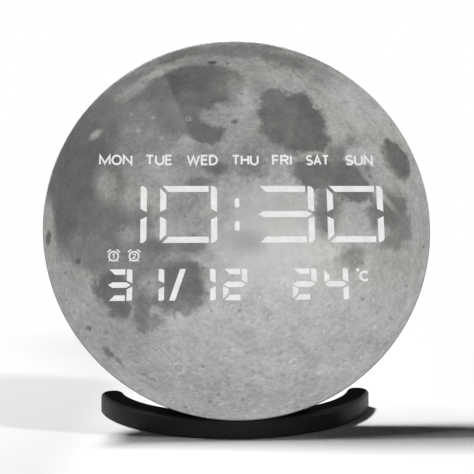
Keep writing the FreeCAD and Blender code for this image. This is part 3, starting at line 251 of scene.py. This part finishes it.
# Small features: bright patches and ridges, dark floors and single craters
MARKS = (
    (-68, 19.5, 5.5, 9, 8, 154, 0.8),
    (-38, 26.5, 21, 9, 0, 150, 0.6),
    (-40, 26, 8, 4.5, 0, 168, 0.8),
    (-22, 6, 14, 10, 0, 147, 0.7),
    (-74.5, 46.5, 3.4, 1.9, 42, 168, 0.7),
    (-55, 71, 3.0, 9, -56, 140, 0.6),
    (-43, 80.5, 11, 2.0, 24, 146, 0.6),
    (-26, 87.2, 10, 1.7, 5, 140, 0.7),
    (-7, 75, 8, 9, 0, 116, 0.8),
    (-55, 12, 6, 8, 0, 158, 0.8),
    (-13, 6, 6, 9, 0, 168, 0.8),
    (3, -11, 10, 6, 0, 170, 0.8),
    (79.5, 23, 4.4, 10, 28, 166, 0.6),
    (-2, 87, 12, 3.0, -16, 150, 0.6),
    (-13.1, 87.3, 2.4, 1.0, 0, 82, 0.3),
    (-1, 72, 4, 8, 12, 140, 0.6),
    (9, 76, 7, 6, 0, 154, 0.6),
    (-13, 56, 7.5, 4.2, -22, 150, 0.4),
    (-1.4, 54, 1.6, 1.2, 0, 112, 0.6),
    (-25.8, 55.3, 1.5, 1.2, 0, 158, 0.6),
    (-25.8, 55.3, 0.7, 0.6, 0, 110, 0.4),
    (0, 45, 12, 4.5, 40, 160, 0.6),
    (-12, 29, 6.5, 3.6, -10, 112, 0.5),
    (-20, 21, 7, 2.2, 5, 120, 0.6),
    (-39.8, 45, 1.2, 1.1, 0, 160, 0.7),
    (-51.8, 48.2, 1.1, 1.9, 0, 152, 0.8),
    (-44.6, 55.9, 0.8, 0.8, 0, 146, 0.7),
    (-56, 58, 1.0, 0.8, 0, 146, 0.7),
    (5, 65.4, 4, 5, 0, 172, 0.8),
    (42.4, 62.7, 2.2, 2.0, 0, 160, 0.4),
    (42.4, 62.7, 1.1, 1.0, 0, 136, 0.4),
    (28.6, 50.5, 1.2, 10, -12, 118, 0.9),
    (69, 44, 5, 13, 38, 168, 0.6),
    (58, 66, 11, 13, 30, 180, 0.7),
    (73, 17, 1.8, 14, 38, 160, 0.6),
    (59, 0, 8.5, 7.5, 0, 172, 0.5),
    (87.7, -14.2, 3.2, 3.8, 20, 168, 0.5),
    (87.7, -14.2, 1.9, 2.4, 20, 150, 0.4),
    (-97.5, -3, 3.2, 16, 3, 156, 0.5),
    (-96.7, -8.3, 1.1, 4.0, -4, 104, 0.35),
    (-56, -7, 5.5, 5.5, 0, 148, 0.7),
    (-42.7, -32, 3.5, 7, -15, 152, 0.7),
    (-15, -17.8, 4, 4, 0, 160, 0.7),
    (-81.4, -20.6, 1.1, 1.5, 0, 92, 0.5),
    (-75, -54.1, 1.4, 1.1, 0, 112, 0.5),
    (-26.8, -46.3, 2.6, 2.2, 0, 132, 0.5),
    (-65, -66.5, 3.6, 1.3, -42, 110, 0.5),
    (-59.6, -70.7, 2.6, 0.9, -52, 122, 0.6),
    (-30.2, -74.4, 3.0, 2.8, 0, 184, 0.4),
    (-30.2, -74.4, 2.1, 2.0, 0, 158, 0.3),
    (-20.6, -84, 3.0, 2.4, 0, 148, 0.5),
    (-45, -78.5, 5.5, 0.6, -33, 140, 0.7),
    (-47, -80.5, 5, 0.6, -33, 142, 0.7),
)

# Greys of the ground that no oval covers
GROUND_LEVELS = (158.0, 172.0)

# A little more than the face's radius, so that the grain doesn't shrink to nothing at the rim
BALL_RADIUS = 103.0

# Slope of the ground around a crater, by distance from its middle in crater widths: a half is
# level, more is the inner wall and less the outer flank
CRATER_SLOPE = ((0.2, 0.5), (0.41, 1.0), (0.52, 0.5), (0.62, 0.12), (0.84, 0.5))
SUNWARD = (-0.55, 0.83, 0)
# Cell, largest radius as a share of it, and strength of each size of crater
CRATER_SIZES = ((13.0, 0.3, 27.0), (7.0, 0.42, 34.0), (3.6, 0.42, 36.0))
YOUNG_CRATER = (-30.2, -74.4, 0)
RAY_LENGTH = 110.0

# Painted glow: the middle of the print is painted lighter, with its texture faded, as painted light
PAINTED_GLOW_CENTRE = (14, -8, 0)
PAINTED_GLOW_REACH = (34, 30, ENDLESS)

DISPLAY_GAMMA = 2.2
# Light that the gloss adds over the print
GLOSS_VEIL = 0.03
OLIVE = (1.0, 1.0, 0.95, 1)
ROSE = (1.0, 0.99, 1.005, 1)
BLUISH = (0.985, 0.995, 1.015, 1)
# Painted shade on the face's rounded rim
RIM_PAINTED_SHADE = (0.17, 0.175, 0.175, 1)
ACRYLIC_IOR = 1.49


def painted(finish, tone, coordinates, rows):
    """Lay soft-edged ovals over a tone, one after another."""
    for x, y, half_width, half_height, turn, level, softness in rows:
        # The gradient falls from one in the middle to a half at the oval's edge
        oval = finish.add("ShaderNodeTexGradient", {"Vector": coordinates}, gradient_type="SPHERICAL")
        oval.texture_mapping.vector_type = "TEXTURE"
        oval.texture_mapping.translation = (x, y, 0)
        oval.texture_mapping.rotation = (0, 0, math.radians(turn))
        oval.texture_mapping.scale = (half_width * 2, half_height * 2, ENDLESS)
        half = softness / 2
        cover = finish.spread(oval.outputs["Fac"], 0.5 - half, 0.5 + half, 0.0, 1.0, smooth=True)
        tone = finish.blend(cover, tone, float(level))
    return tone


def on_ball(finish, flat):
    """Places on a ball behind the face, so that the grain crowds toward the limb as a moon's does."""
    outward = finish.vector("MULTIPLY", flat, (1, 1, 0))
    square = finish.vector("DOT_PRODUCT", outward, outward)
    left_over = finish.math("SUBTRACT", BALL_RADIUS ** 2, square)
    depth = finish.math("SQRT", finish.math("MAXIMUM", left_over, 1.0))
    return finish.vector("ADD", outward, finish.joined(z=depth))


def warped(finish, flat, ball, grain, reach, detail, roughness):
    """Shift flat coordinates about by noise, so that edges wander as eroded ones do."""
    shift = finish.noise(ball, grain, detail, roughness, "Color")
    shift = finish.vector("SUBTRACT", shift, (0.5, 0.5, 0.5))
    return finish.vector("ADD", flat, finish.scaled(shift, reach))


def craters(finish, coordinates, cell, largest):
    """Shading of round hollows scattered one to a cell, lit from one side."""
    cells = finish.add("ShaderNodeTexVoronoi", {"Vector": coordinates, "Scale": 1 / cell})
    offset = finish.vector("SUBTRACT", coordinates, cells.outputs["Position"])
    pick = finish.add("ShaderNodeSeparateColor", {0: cells.outputs["Color"]})
    radius = finish.spread(pick.outputs[0], 0.0, 1.0, cell * 0.12, cell * largest)
    reach = finish.math("DIVIDE", finish.vector("LENGTH", offset), radius)
    wall = finish.add("ShaderNodeValToRGB", {0: finish.math("MULTIPLY", reach, 0.5)})
    ramp = wall.color_ramp
    ramp.interpolation = "EASE"
    for number, (position, slope) in enumerate(CRATER_SLOPE):
        stop = ramp.elements[number] if number < 2 else ramp.elements.new(position)
        stop.position = position
        stop.color = grey(slope)
    slope = finish.math("SUBTRACT", wall.outputs[0], 0.5)
    side = finish.vector("DOT_PRODUCT", finish.vector("NORMALIZE", offset), SUNWARD)
    chosen = finish.spread(pick.outputs[1], 0.3, 0.7, 0.0, 1.0)
    return finish.math("MULTIPLY", finish.math("MULTIPLY", slope, side), chosen)


def scattered(finish, coordinates, cell, near, far):
    """Small round spots, some to a few cells: one at a spot's middle and zero away from it."""
    spots = finish.add("ShaderNodeTexVoronoi", {"Vector": coordinates, "Scale": 1 / cell})
    spot = finish.spread(spots.outputs["Distance"], near, far, 1.0, 0.0, smooth=True)
    pick = finish.add("ShaderNodeSeparateColor", {0: spots.outputs["Color"]})
    return finish.math("MULTIPLY", spot, finish.spread(pick.outputs[2], 0.45, 0.9, 0.0, 1.0))


def rays(finish, flat, crater):
    """Faint streaks that fan out from a young crater."""
    from_crater = finish.vector("SUBTRACT", flat, crater)
    parts = finish.split(from_crater)
    bearing = finish.math("ARCTAN2", parts[0], parts[1])
    distance = finish.vector("LENGTH", from_crater)
    fan = finish.joined(finish.math("MULTIPLY", bearing, 4.0), finish.math("MULTIPLY", distance, 0.018))
    ray = finish.spread(finish.noise(fan, 0.55, 4.0, 0.6), 0.5, 0.72, 0.0, 1.0)
    fade = finish.spread(distance, 8.0, RAY_LENGTH, 11.0, 0.0, smooth=True)
    return finish.math("MULTIPLY", ray, fade)


def print_tone(finish, flat, ball, slight):
    """The print's broad light and dark."""
    wander = warped(finish, flat, ball, grain=26.0, reach=9.0, detail=3.0, roughness=0.5)
    ragged = warped(finish, wander, ball, grain=7.0, reach=13.0, detail=6.0, roughness=0.7)
    tone = finish.drift(finish.noise(ball, 60.0, 5.0, 0.55), *GROUND_LEVELS)
    tone = painted(finish, tone, ragged, HIGHLANDS)
    tone = painted(finish, tone, ragged, SEAS)
    return painted(finish, tone, slight, MARKS)


def print_texture(finish, flat, ball, slight, upright, tone):
    """Mottling, pits and craters, strongest in the lower highlands and faint in the painted glow."""
    high = finish.spread(tone, 112.0, 150.0, 0.0, 1.0, smooth=True)
    texture = finish.math("MULTIPLY", scattered(finish, ball, cell=5.0, near=0.05, far=0.17), 20.0)

    def add(value, in_seas, in_highlands):
        nonlocal texture
        amount = finish.blend(high, in_seas, in_highlands)
        texture = finish.math("ADD", texture, finish.math("MULTIPLY", value, amount))

    add(finish.swing(ball, 10.0, 10.0, 0.7), 46.0, 74.0)
    add(finish.swing(ball, 2.6, 5.0, 0.75), 30.0, 66.0)
    add(scattered(finish, slight, cell=7.0, near=0.06, far=0.2), -4.0, -24.0)
    north = finish.spread(upright, -25.0, 15.0, 0.0, 1.0, smooth=True)
    add(finish.math("MULTIPLY", finish.swing(flat, 1.4, 4.0, 0.7), north), 22.0, 48.0)
    relief = 0.0
    for cell, largest, strength in CRATER_SIZES:
        hollows = finish.math("MULTIPLY", craters(finish, ball, cell, largest), strength)
        relief = finish.math("ADD", hollows, relief)
    south = finish.spread(upright, -12.0, -52.0, 0.4, 1.0, smooth=True)
    add(finish.math("MULTIPLY", relief, south), 0.25, 1.0)
    texture = finish.math("ADD", texture, rays(finish, flat, YOUNG_CRATER))

    # Painted glow: the texture fades where the middle of the print is painted light
    from_painted_glow = finish.vector("LENGTH", finish.frame_of(flat, PAINTED_GLOW_CENTRE, (0, 0, 0), PAINTED_GLOW_REACH))
    glow = finish.spread(from_painted_glow, 1.15, 0.25, 0.0, 1.0, smooth=True)
    return finish.math("MULTIPLY", texture, finish.blend(glow, 1.0, 0.25))


def print_colour(finish, ball, upright, tone):
    """From display grey to light, with the faint olive of some seas and the blue of the low end."""
    bright = finish.math("POWER", finish.math("DIVIDE", tone, 255.0), DISPLAY_GAMMA)
    bright = finish.math("SUBTRACT", bright, GLOSS_VEIL)
    hue = finish.spread(finish.noise(ball, 30.0, 2.0), 0.4, 0.6, 0.0, 1.0, smooth=True)
    low_end = finish.spread(upright, -20.0, -60.0, 0.0, 1.0, smooth=True)
    warm = finish.tint(low_end, finish.tint(hue, OLIVE, ROSE), BLUISH)
    return finish.vector("MULTIPLY", warm, finish.joined(bright, bright, bright))


def moon_print():
    """The printed face sheet, glossy and slightly wavy. Its rounded rim is painted grey: painted shade for
    the dark reflections of the clear sheet's edge.
    """
    finish = Finish("moon_print")
    flat = on_face(finish)
    ball = on_ball(finish, flat)
    slight = warped(finish, flat, ball, grain=3.0, reach=3.4, detail=4.0, roughness=0.65)
    upright = finish.split(flat)[1]
    tone = print_tone(finish, flat, ball, slight)
    tone = finish.math("ADD", tone, print_texture(finish, flat, ball, slight, upright, tone))
    colour = print_colour(finish, ball, upright, tone)
    # Painted shade: where the surface turns away from the face, the rounded rim is tinted grey for the dark
    # reflections of the clear edge
    facing = finish.vector("DOT_PRODUCT", finish.normal, FACE_NORMAL)
    rim = finish.spread(facing, 0.75, 0.97, 1.0, 0.0, smooth=True)
    colour = finish.tint(rim, colour, RIM_PAINTED_SHADE)
    polish = finish.drift(finish.noise(flat, 14.0, 2.0), 0.02, 0.045)
    waves = finish.bump(finish.noise(flat, 30.0, 1.0), 0.01 * MM, 0.25)
    return finish.shade(Base_Color=colour, Roughness=polish, IOR=ACRYLIC_IOR, Normal=waves)


def lit_white():
    """White light that shines through the print, faintly marked by it."""
    finish = Finish("lit_white")
    flat = on_face(finish)
    cloud = finish.drift(finish.noise(flat, 6.0, 7.0, 0.65), 0.72, 0.86)
    speck = finish.drift(finish.noise(flat, 0.9, 3.0, 0.6), 0.96, 1.03)
    glow = finish.math("MULTIPLY", cloud, speck)
    colour = finish.add("ShaderNodeCombineColor", {0: glow, 1: glow, 2: glow}).outputs[0]
    base = finish.scaled(colour, 0.03)
    return finish.shade(Base_Color=base, Roughness=0.05, IOR=ACRYLIC_IOR,
                        Emission_Color=colour, Emission_Strength=0.95)


# Plastics, rubber, metals and the board

def shades(base, down, up):
    """A darker and a lighter colour than the base, with full alpha."""
    dark = tuple(channel * down for channel in base) + (1,)
    light = tuple(min(1, channel * up) for channel in base) + (1,)
    return dark, light


def plastic(name, base, drift, rough, rough_drift, grain, depth, specular, matt_top=False):
    """Moulded plastic: base colour with drift, uneven gloss and a fine tooled texture."""
    finish = Finish(name)
    if matt_top:
        specular = finish.spread(finish.split(finish.normal)[2], 0.3, 0.95, specular, 0.0)
    place = in_mm(finish)
    cloud = finish.math("MULTIPLY", finish.noise(place, 18.0, 4.0, 0.6), 0.6)
    mottle = finish.math("MULTIPLY", finish.noise(place, grain * 3, 3.0, 0.6), 0.4)
    level = finish.spread(finish.math("ADD", cloud, mottle), 0.35, 0.65, 0.0, 1.0)
    colour = finish.tint(level, *shades(base, 1 - drift, 1 + drift))
    gloss = finish.drift(finish.noise(place, 7.0, 5.0, 0.65), rough - rough_drift, rough + rough_drift)
    pits = finish.bump(finish.noise(place, grain, 2.0, 0.6), depth * MM)
    return finish.shade(Base_Color=colour, Roughness=gloss, Normal=pits, Specular_IOR_Level=specular)


def metal(name, base, rough, grain):
    """Drawn or turned metal with fine lines along one way."""
    finish = Finish(name)
    place = in_mm(finish)
    lines = finish.noise(finish.vector("MULTIPLY", place, (1, 1, 12)), grain, 4.0, 0.6)
    colour = finish.tint(finish.drift(lines, 0.0, 1.0), *shades(base, 0.8, 1.12))
    stain = finish.drift(finish.noise(place, 2.5, 4.0), rough - 0.08, rough + 0.1)
    normal = finish.bump(lines, 0.01 * MM, 0.6)
    return finish.shade(Base_Color=colour, Metallic=1.0, Roughness=stain, Normal=normal)


def board_green():
    """Solder mask over copper lines: raised, lighter tracks on a darker ground."""
    finish = Finish("board_green")
    flat = on_face(finish)
    cells = finish.add("ShaderNodeTexVoronoi", {"Vector": flat, "Scale": 0.28},
                       feature="DISTANCE_TO_EDGE", voronoi_dimensions="2D")
    track = finish.spread(cells.outputs["Distance"], 0.04, 0.07, 1.0, 0.0, smooth=True)
    weave = finish.drift(finish.noise(flat, 1.2, 3.0), 0.0, 1.0)
    ground = finish.tint(weave, (0.03, 0.15, 0.07, 1), (0.045, 0.19, 0.09, 1))
    colour = finish.tint(track, ground, (0.08, 0.3, 0.14, 1))
    return finish.shade(Base_Color=colour, Roughness=0.28, Normal=finish.bump(track, 0.03 * MM))


def led_white():
    """The emitters' pale resin, dimly lit."""
    finish = Finish("led_white")
    fleck = finish.drift(finish.noise(in_mm(finish), 0.5, 3.0), 0.0, 1.0)
    colour = finish.tint(fleck, *shades((0.95, 0.93, 0.8), 0.9, 1.0))
    return finish.shade(Base_Color=colour, Roughness=0.3, Emission_Color=colour, Emission_Strength=0.6)


# Base colour, its drift, roughness, its drift, grain and pit depth in millimetres, specular level
PLASTICS = {
    "satin_black": ((0.008, 0.008, 0.0084), 0.18, 0.42, 0.05, 0.16, 0.004, 0.1),
    "black_textured": ((0.018, 0.018, 0.019), 0.2, 0.62, 0.06, 0.35, 0.02, 0.5),
    "foot_rubber": ((0.03, 0.03, 0.031), 0.25, 0.85, 0.06, 0.5, 0.03, 0.3),
    "housing_black": ((0.02, 0.02, 0.021), 0.2, 0.56, 0.07, 0.32, 0.022, 0.4),
    "key_rubber": ((0.045, 0.045, 0.047), 0.15, 0.5, 0.05, 0.2, 0.008, 0.5),
    "diffuser_white": ((0.86, 0.86, 0.86), 0.03, 0.5, 0.05, 0.3, 0.004, 0.5),
    "white_plastic": ((0.8, 0.8, 0.79), 0.04, 0.45, 0.06, 0.3, 0.006, 0.5),
    "chip_black": ((0.02, 0.02, 0.021), 0.2, 0.55, 0.05, 0.15, 0.006, 0.5),
    "bead_black": ((0.02, 0.02, 0.024), 0.1, 0.22, 0.04, 0.6, 0.004, 0.5),
}
# The plastic whose upward faces lose their shine
MATT_TOPPED = "satin_black"

# Base colour, roughness, grain in millimetres
METALS = {
    "screw_steel": ((0.11, 0.11, 0.115), 0.38, 0.35),
    "can_metal": ((0.68, 0.68, 0.7), 0.26, 0.4),
    "cell_steel": ((0.7, 0.7, 0.71), 0.24, 0.3),
}

FINISHES = {"moon_print": moon_print(), "lit_white": lit_white()}
for name, looks in PLASTICS.items():
    FINISHES[name] = plastic(name, *looks, matt_top=(name == MATT_TOPPED))
FINISHES["led_white"] = led_white()
FINISHES["board_green"] = board_green()
for name, looks in METALS.items():
    FINISHES[name] = metal(name, *looks)

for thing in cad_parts.values():
    slot = thing.data.materials[0].name.split(".")[0]
    thing.data.materials[0] = FINISHES[slot]


def new_piece(name, corners, faces, material):
    """A mesh piece in one material."""
    mesh = bpy.data.meshes.new(name)
    mesh.from_pydata(corners, [], faces)
    mesh.update()
    mesh.materials.append(material)
    piece = bpy.data.objects.new(name, mesh)
    bpy.context.scene.collection.objects.link(piece)
    return piece


# Words and signs lit on the face, as thin strokes just proud of it

def arc(x, y, across, along, start, stop, steps=14):
    """Points on part of an oval, angles in degrees."""
    points = []
    for step in range(steps + 1):
        turn = math.radians(start + (stop - start) * step / steps)
        points.append((x + across * math.cos(turn), y + along * math.sin(turn)))
    return points


# Each letter is its width and its strokes, for a letter one unit high. A stroke that ends where it
# starts is closed.
LETTERS = {
    "M": (0.84, [[(0, 0), (0, 1), (0.42, 0.1), (0.84, 1), (0.84, 0)]]),
    "O": (0.74, [arc(0.37, 0.5, 0.37, 0.5, 90, 450, 28)]),
    "N": (0.68, [[(0, 0), (0, 1), (0.68, 0), (0.68, 1)]]),
    "T": (0.62, [[(0, 1), (0.62, 1)], [(0.31, 0), (0.31, 1)]]),
    "U": (0.66, [[(0, 1)] + arc(0.33, 0.33, 0.33, 0.33, 180, 360) + [(0.66, 1)]]),
    "E": (0.5, [[(0.5, 1), (0, 1), (0, 0), (0.5, 0)], [(0, 0.52), (0.46, 0.52)]]),
    "W": (1.06, [[(0, 1), (0.27, 0), (0.53, 0.92), (0.79, 0), (1.06, 1)]]),
    "D": (0.64, [[(0, 0), (0, 1), (0.24, 1)] + arc(0.24, 0.5, 0.4, 0.5, 90, -90, 16) + [(0, 0)]]),
    "H": (0.64, [[(0, 0), (0, 1)], [(0.64, 0), (0.64, 1)], [(0, 0.52), (0.64, 0.52)]]),
    "F": (0.48, [[(0, 0), (0, 1), (0.48, 1)], [(0, 0.52), (0.44, 0.52)]]),
    "R": (0.6, [[(0, 0), (0, 1), (0.3, 1)] + arc(0.3, 0.745, 0.27, 0.255, 90, -90, 12) + [(0, 0.49)],
                [(0.32, 0.49), (0.6, 0)]]),
    "I": (0.0, [[(0, 0), (0, 1)]]),
    "S": (0.58, [arc(0.29, 0.745, 0.27, 0.255, 28, 270, 16) + arc(0.29, 0.245, 0.29, 0.245, 90, -152, 16)]),
    "A": (0.7, [[(0, 0), (0.35, 1), (0.7, 0)], [(0.13, 0.33), (0.57, 0.33)]]),
}
LETTER_GAP = 0.24

# Each word and its left and right ends, in face millimetres
WEEKDAYS = (
    ("MON", -72.22, -54.91), ("TUE", -48.26, -34.07), ("WED", -26.84, -10.44), ("THU", -3.27, 10.94),
    ("FRI", 17.89, 28.43), ("SAT", 35.78, 48.23), ("SUN", 56.63, 71.34),
)
WORD_BASELINE = 29.95
CAP_HEIGHT = 5.75
WORD_STROKE = 1.05

# Undersides and tops of the strokes, as heights over the face
SIGN_LOW = -0.02
SIGN_HIGH = 0.03

# Ends of a path that are nearer than this make it a closed one
CLOSED_WITHIN = 1e-6
# Keeps the points of sharp corners short
LEAST_MITRE = 0.42


def stroke_sides(points, width):
    """Left and right edges of a stroke of that width along a path, with mitred corners."""
    path = [Vector(point) for point in points]
    closed = (path[0] - path[-1]).length < CLOSED_WITHIN
    if closed:
        path = path[:-1]
    count = len(path)
    left = []
    right = []
    for number, here in enumerate(path):
        sides = []
        if closed or number > 0:
            sides.append((here - path[number - 1]).normalized())
        if closed or number < count - 1:
            sides.append((path[(number + 1) % count] - here).normalized())
        normals = [Vector((-side.y, side.x)) for side in sides]
        mitre = sum(normals, Vector((0, 0))).normalized()
        reach = width / 2 / max(LEAST_MITRE, mitre.dot(normals[0]))
        left.append(here + mitre * reach)
        right.append(here - mitre * reach)
    return left, right, closed


def stroke_mesh(name, strokes):
    """One thin mesh of many strokes, each a path in face millimetres and its width."""
    corners = []
    faces = []
    for points, width in strokes:
        left, right, closed = stroke_sides(points, width)
        count = len(left)
        # Where the four edges start: left and right on top, left and right underneath
        edges = [len(corners) + count * number for number in range(4)]
        for height in (SIGN_HIGH, SIGN_LOW):
            for side in (left, right):
                corners += [FACE @ (Vector((p.x, p.y, height)) * MM) for p in side]
        for number in range(count if closed else count - 1):
            after = (number + 1) % count
            a, c, e, g = [edge + number for edge in edges]
            b, d, f, h = [edge + after for edge in edges]
            faces += [(a, c, d, b), (e, f, h, g), (a, b, f, e), (c, g, h, d)]
        if not closed:
            a, c, e, g = edges
            faces.append((a, e, g, c))
            b, d, f, h = [edge + count - 1 for edge in edges]
            faces.append((b, d, h, f))
    piece = new_piece(name, corners, faces, FINISHES["lit_white"])
    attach(piece, "head")


def word_strokes(word, first, last):
    """Strokes of a word that spans from its first to its last edge."""
    inner = last - first - WORD_STROKE
    total = sum(LETTERS[letter][0] for letter in word) + LETTER_GAP * (len(word) - 1)
    unit = inner / total
    rise = CAP_HEIGHT - WORD_STROKE
    strokes = []
    x = first + WORD_STROKE / 2
    y = WORD_BASELINE + WORD_STROKE / 2
    for letter in word:
        width, paths = LETTERS[letter]
        for path in paths:
            strokes.append(([(x + px * unit, y + py * rise) for px, py in path], WORD_STROKE))
        x += (width + LETTER_GAP) * unit
    return strokes


def alarm_strokes(x, y, digit):
    """An alarm clock sign: its case, a bell and a foot on each side, and a number."""
    strokes = [(arc(x, y, 2.36, 2.36, 90, 450, 32), 0.78)]
    for side in (-1, 1):
        strokes.append((arc(x, y, 3.65, 3.65, 90 - side * 58, 90 - side * 22, 8), 0.65))
        strokes.append(([(x + side * 1.75, y - 1.9), (x + side * 2.35, y - 2.75)], 0.6))
    if digit == 1:
        strokes.append(([(x - 0.5, y + 0.7), (x + 0.12, y + 1.2), (x + 0.12, y - 1.25)], 0.6))
    else:
        curve = arc(x, y + 0.5, 0.68, 0.66, 160, -30, 10)
        strokes.append((curve + [(x - 0.66, y - 1.05), (x + 0.8, y - 1.05)], 0.54))
    return strokes


# Each alarm sign's middle and number
ALARM_SIGNS = (
    ("alarm_one_sign", -63.67, -17.95, 1),
    ("alarm_two_sign", -53.33, -18.0, 2),
)
DEGREE_STROKE = (arc(60.75, -25.6, 0.45, 0.45, 90, 450, 16), 0.9)
CELSIUS_STROKE = (arc(64.2, -28.78, 2.1, 2.25, 42, 318, 22), 1.3)

for word, first, last in WEEKDAYS:
    stroke_mesh("weekday_" + word.lower(), word_strokes(word, first, last))
for name, x, y, digit in ALARM_SIGNS:
    stroke_mesh(name, alarm_strokes(x, y, digit))
stroke_mesh("celsius_sign", [DEGREE_STROKE, CELSIUS_STROKE])


# Stage: pale floor, white surroundings, light card, lamps and camera

FLOOR_HALF = 3.0
# Where the floor turns from its left side, darkened with painted shade, to its pale one, and from matt to
# plain white
FLOOR_PAINTED_SHADE_ENDS = (-0.095, -0.035)
FLOOR_PAINTED_SHADE = 0.62
FLOOR_PALE = 0.9
FLOOR_WHITE_ENDS = (0.24, 0.42)
AMBIENT = 0.03

# The light card's plane, and the points of the face in which its corners and the ends of its fades
# are mirrored, in millimetres right of and above the face's middle
CARD_DEPTH = -0.9
CARD_CORNERS = ((-54.8, 120), (-15.9, 25), (-135, 25), (-135, 120))
CARD_FADE_LOW = (-20, 28)
CARD_FADE_HIGH = (-30, 62)
CARD_FADE_LEFT = (-80, 62)
CARD_FADE_RIGHT = (-34, 62)
CARD_STRENGTH = 1.8

CAMERA_PLACE = Vector((-17.238, -391.771, 105.889)) * MM
CAMERA_RIGHT = Vector((0.99906308, -0.04320864, -0.00244307))
CAMERA_ABOVE = Vector((0.00320974, 0.01768302, 0.99983849))
SENSOR_WIDTH = 36.0
LENS = 55.97


def stage_floor():
    """A pale matt floor, darker on its left with painted shade, that turns into plain white away from the
    clock.
    """
    finish = Finish("studio_floor")
    # Painted shade: the floor's own grey is lower on the left, standing in for less lamp light there
    pale = finish.spread(finish.split(finish.place)[0], *FLOOR_PAINTED_SHADE_ENDS, 0.0, 1.0, smooth=True)
    colour = finish.tint(pale, grey(FLOOR_PAINTED_SHADE), grey(FLOOR_PALE))
    matt = finish.add("ShaderNodeBsdfDiffuse", {"Color": colour})
    white = finish.mixed(finish.seen(), finish.emission(0.0), finish.emission(1.0))
    away = finish.spread(finish.vector("LENGTH", finish.place), *FLOOR_WHITE_ENDS, 0.0, 1.0, smooth=True)
    finish.end_with(finish.mixed(away, matt, white))
    low, high = -FLOOR_HALF, FLOOR_HALF
    corners = [(low, low, 0), (high, low, 0), (high, high, 0), (low, high, 0)]
    floor = new_piece("floor", corners, [(0, 1, 2, 3)], finish.material)
    return floor


def stage_world():
    """Surroundings that are white to look at, and give little light."""
    world = bpy.data.worlds.new("studio")
    world.use_nodes = True
    nodes = Nodes(world.node_tree)
    dim = nodes.add("ShaderNodeBackground", {"Color": grey(1.0), "Strength": AMBIENT})
    white = nodes.add("ShaderNodeBackground", {"Color": grey(1.0), "Strength": 1.0})
    nodes.end_with(nodes.mixed(nodes.seen(), dim, white), "ShaderNodeOutputWorld")
    bpy.context.scene.world = world


def mirrored_in(x, y):
    """Where the card's plane is met by the camera's ray that mirrors off the face at x, y."""
    height = (CAMERA_PLACE - FACE_CENTRE).dot(FACE_NORMAL)
    behind_face = CAMERA_PLACE - FACE_NORMAL * (2 * height)
    along = FACE @ (Vector((x, y, 0)) * MM) - behind_face
    return behind_face + along * ((CARD_DEPTH - behind_face.y) / along.y)


def stage_card():
    """A light card whose straight edge mirrors in the glossy face.

    Toward its lower end and its left it fades into the white of the surroundings.
    """
    finish = Finish("light_card")
    place = finish.split(finish.place)
    low, high = mirrored_in(*CARD_FADE_LOW).z, mirrored_in(*CARD_FADE_HIGH).z
    upward = finish.spread(place[2], low, high, 0.0, CARD_STRENGTH, smooth=True)
    left, right = mirrored_in(*CARD_FADE_LEFT).x, mirrored_in(*CARD_FADE_RIGHT).x
    strength = finish.math("MULTIPLY", upward, finish.spread(place[0], left, right, 0.0, 1.0))
    finish.end_with(finish.emission(finish.math("ADD", strength, 1.0)))
    corners = [mirrored_in(*corner) for corner in CARD_CORNERS]
    card = new_piece("light_card", corners, [(0, 1, 2, 3)], finish.material)
    card.visible_camera = False
    card.visible_diffuse = False
    card.visible_shadow = False
    return card


def group(name, things):
    """A collection that lamps can be limited to."""
    collection = bpy.data.collections.new(name)
    for thing in things:
        collection.objects.link(thing)
    return collection


def lamp(name, place, target, width, height, power, receivers):
    """A flat rectangular lamp."""
    data = bpy.data.lights.new(name, "AREA")
    data.shape = "RECTANGLE"
    data.size = width
    data.size_y = height
    data.energy = power
    set_lamp(name, data, place, target, receivers)


def spot(name, place, target, angle, soft, radius, power, receivers):
    """A lamp with a round cone."""
    data = bpy.data.lights.new(name, "SPOT")
    data.spot_size = math.radians(angle)
    data.spot_blend = soft
    data.shadow_soft_size = radius
    data.energy = power
    set_lamp(name, data, place, target, receivers)


def set_lamp(name, data, place, target, receivers):
    """Place a lamp, aim it and limit it to what it may light."""
    thing = bpy.data.objects.new(name, data)
    bpy.context.scene.collection.objects.link(thing)
    thing.location = place
    thing.rotation_euler = (Vector(target) - Vector(place)).to_track_quat("-Z", "Y").to_euler()
    thing.light_linking.receiver_collection = receivers


def stage_camera():
    """The camera that fits the photo's outlines."""
    data = bpy.data.cameras.new("camera")
    data.sensor_width = SENSOR_WIDTH
    data.lens = LENS
    data.clip_start = 0.01
    data.clip_end = 50
    camera = bpy.data.objects.new("camera", data)
    bpy.context.scene.collection.objects.link(camera)
    axes = (CAMERA_RIGHT, CAMERA_ABOVE, CAMERA_RIGHT.cross(CAMERA_ABOVE))
    camera.matrix_world = Matrix.Translation(CAMERA_PLACE) @ Matrix(axes).transposed().to_4x4()
    bpy.context.scene.camera = camera


floor = stage_floor()
stage_world()
card = stage_card()
on_floor = group("floor_only", [floor])
clock = [thing for thing in bpy.data.objects if thing.type == "MESH" and thing not in (floor, card)]
on_clock = group("clock_only", clock)

# Each lamp's place and aim, then its width, height and power, or for a spot its cone in degrees,
# soft edge, radius and power, and then what it lights
lamp("front_lamp", (-0.15, -1.0, 1.7), (0, 0, 0.1), 1.2, 0.7, 32.5, on_clock)
lamp("back_lamp", (0.35, 1.1, 1.0), (0, 0, 0.1), 0.9, 0.7, 16.0, on_clock)
lamp("left_lamp", (-1.0, -0.1, 0.7), (0, 0, 0.05), 0.3, 0.5, 6.0, on_clock)
lamp("right_lamp", (1.0, -0.2, 0.7), (0, 0, 0.05), 0.3, 0.5, 2.5, on_clock)
lamp("floor_lamp", (-0.88, 0.55, 2.2), (-0.88, 0.55, 0), 0.44, 0.34, 73.0, on_floor)
lamp("floor_top_lamp", (-0.66, 0.13, 2.2), (-0.66, 0.13, 0), 0.5, 0.4, 7.0, on_floor)
spot("right_floor_lamp", (0.96, -0.54, 1.2), (-0.375, 0.1, 0), 15.5, 0.16, 0.09, 68.0, on_floor)

stage_camera()
bpy.context.scene.view_settings.view_transform = "Standard"
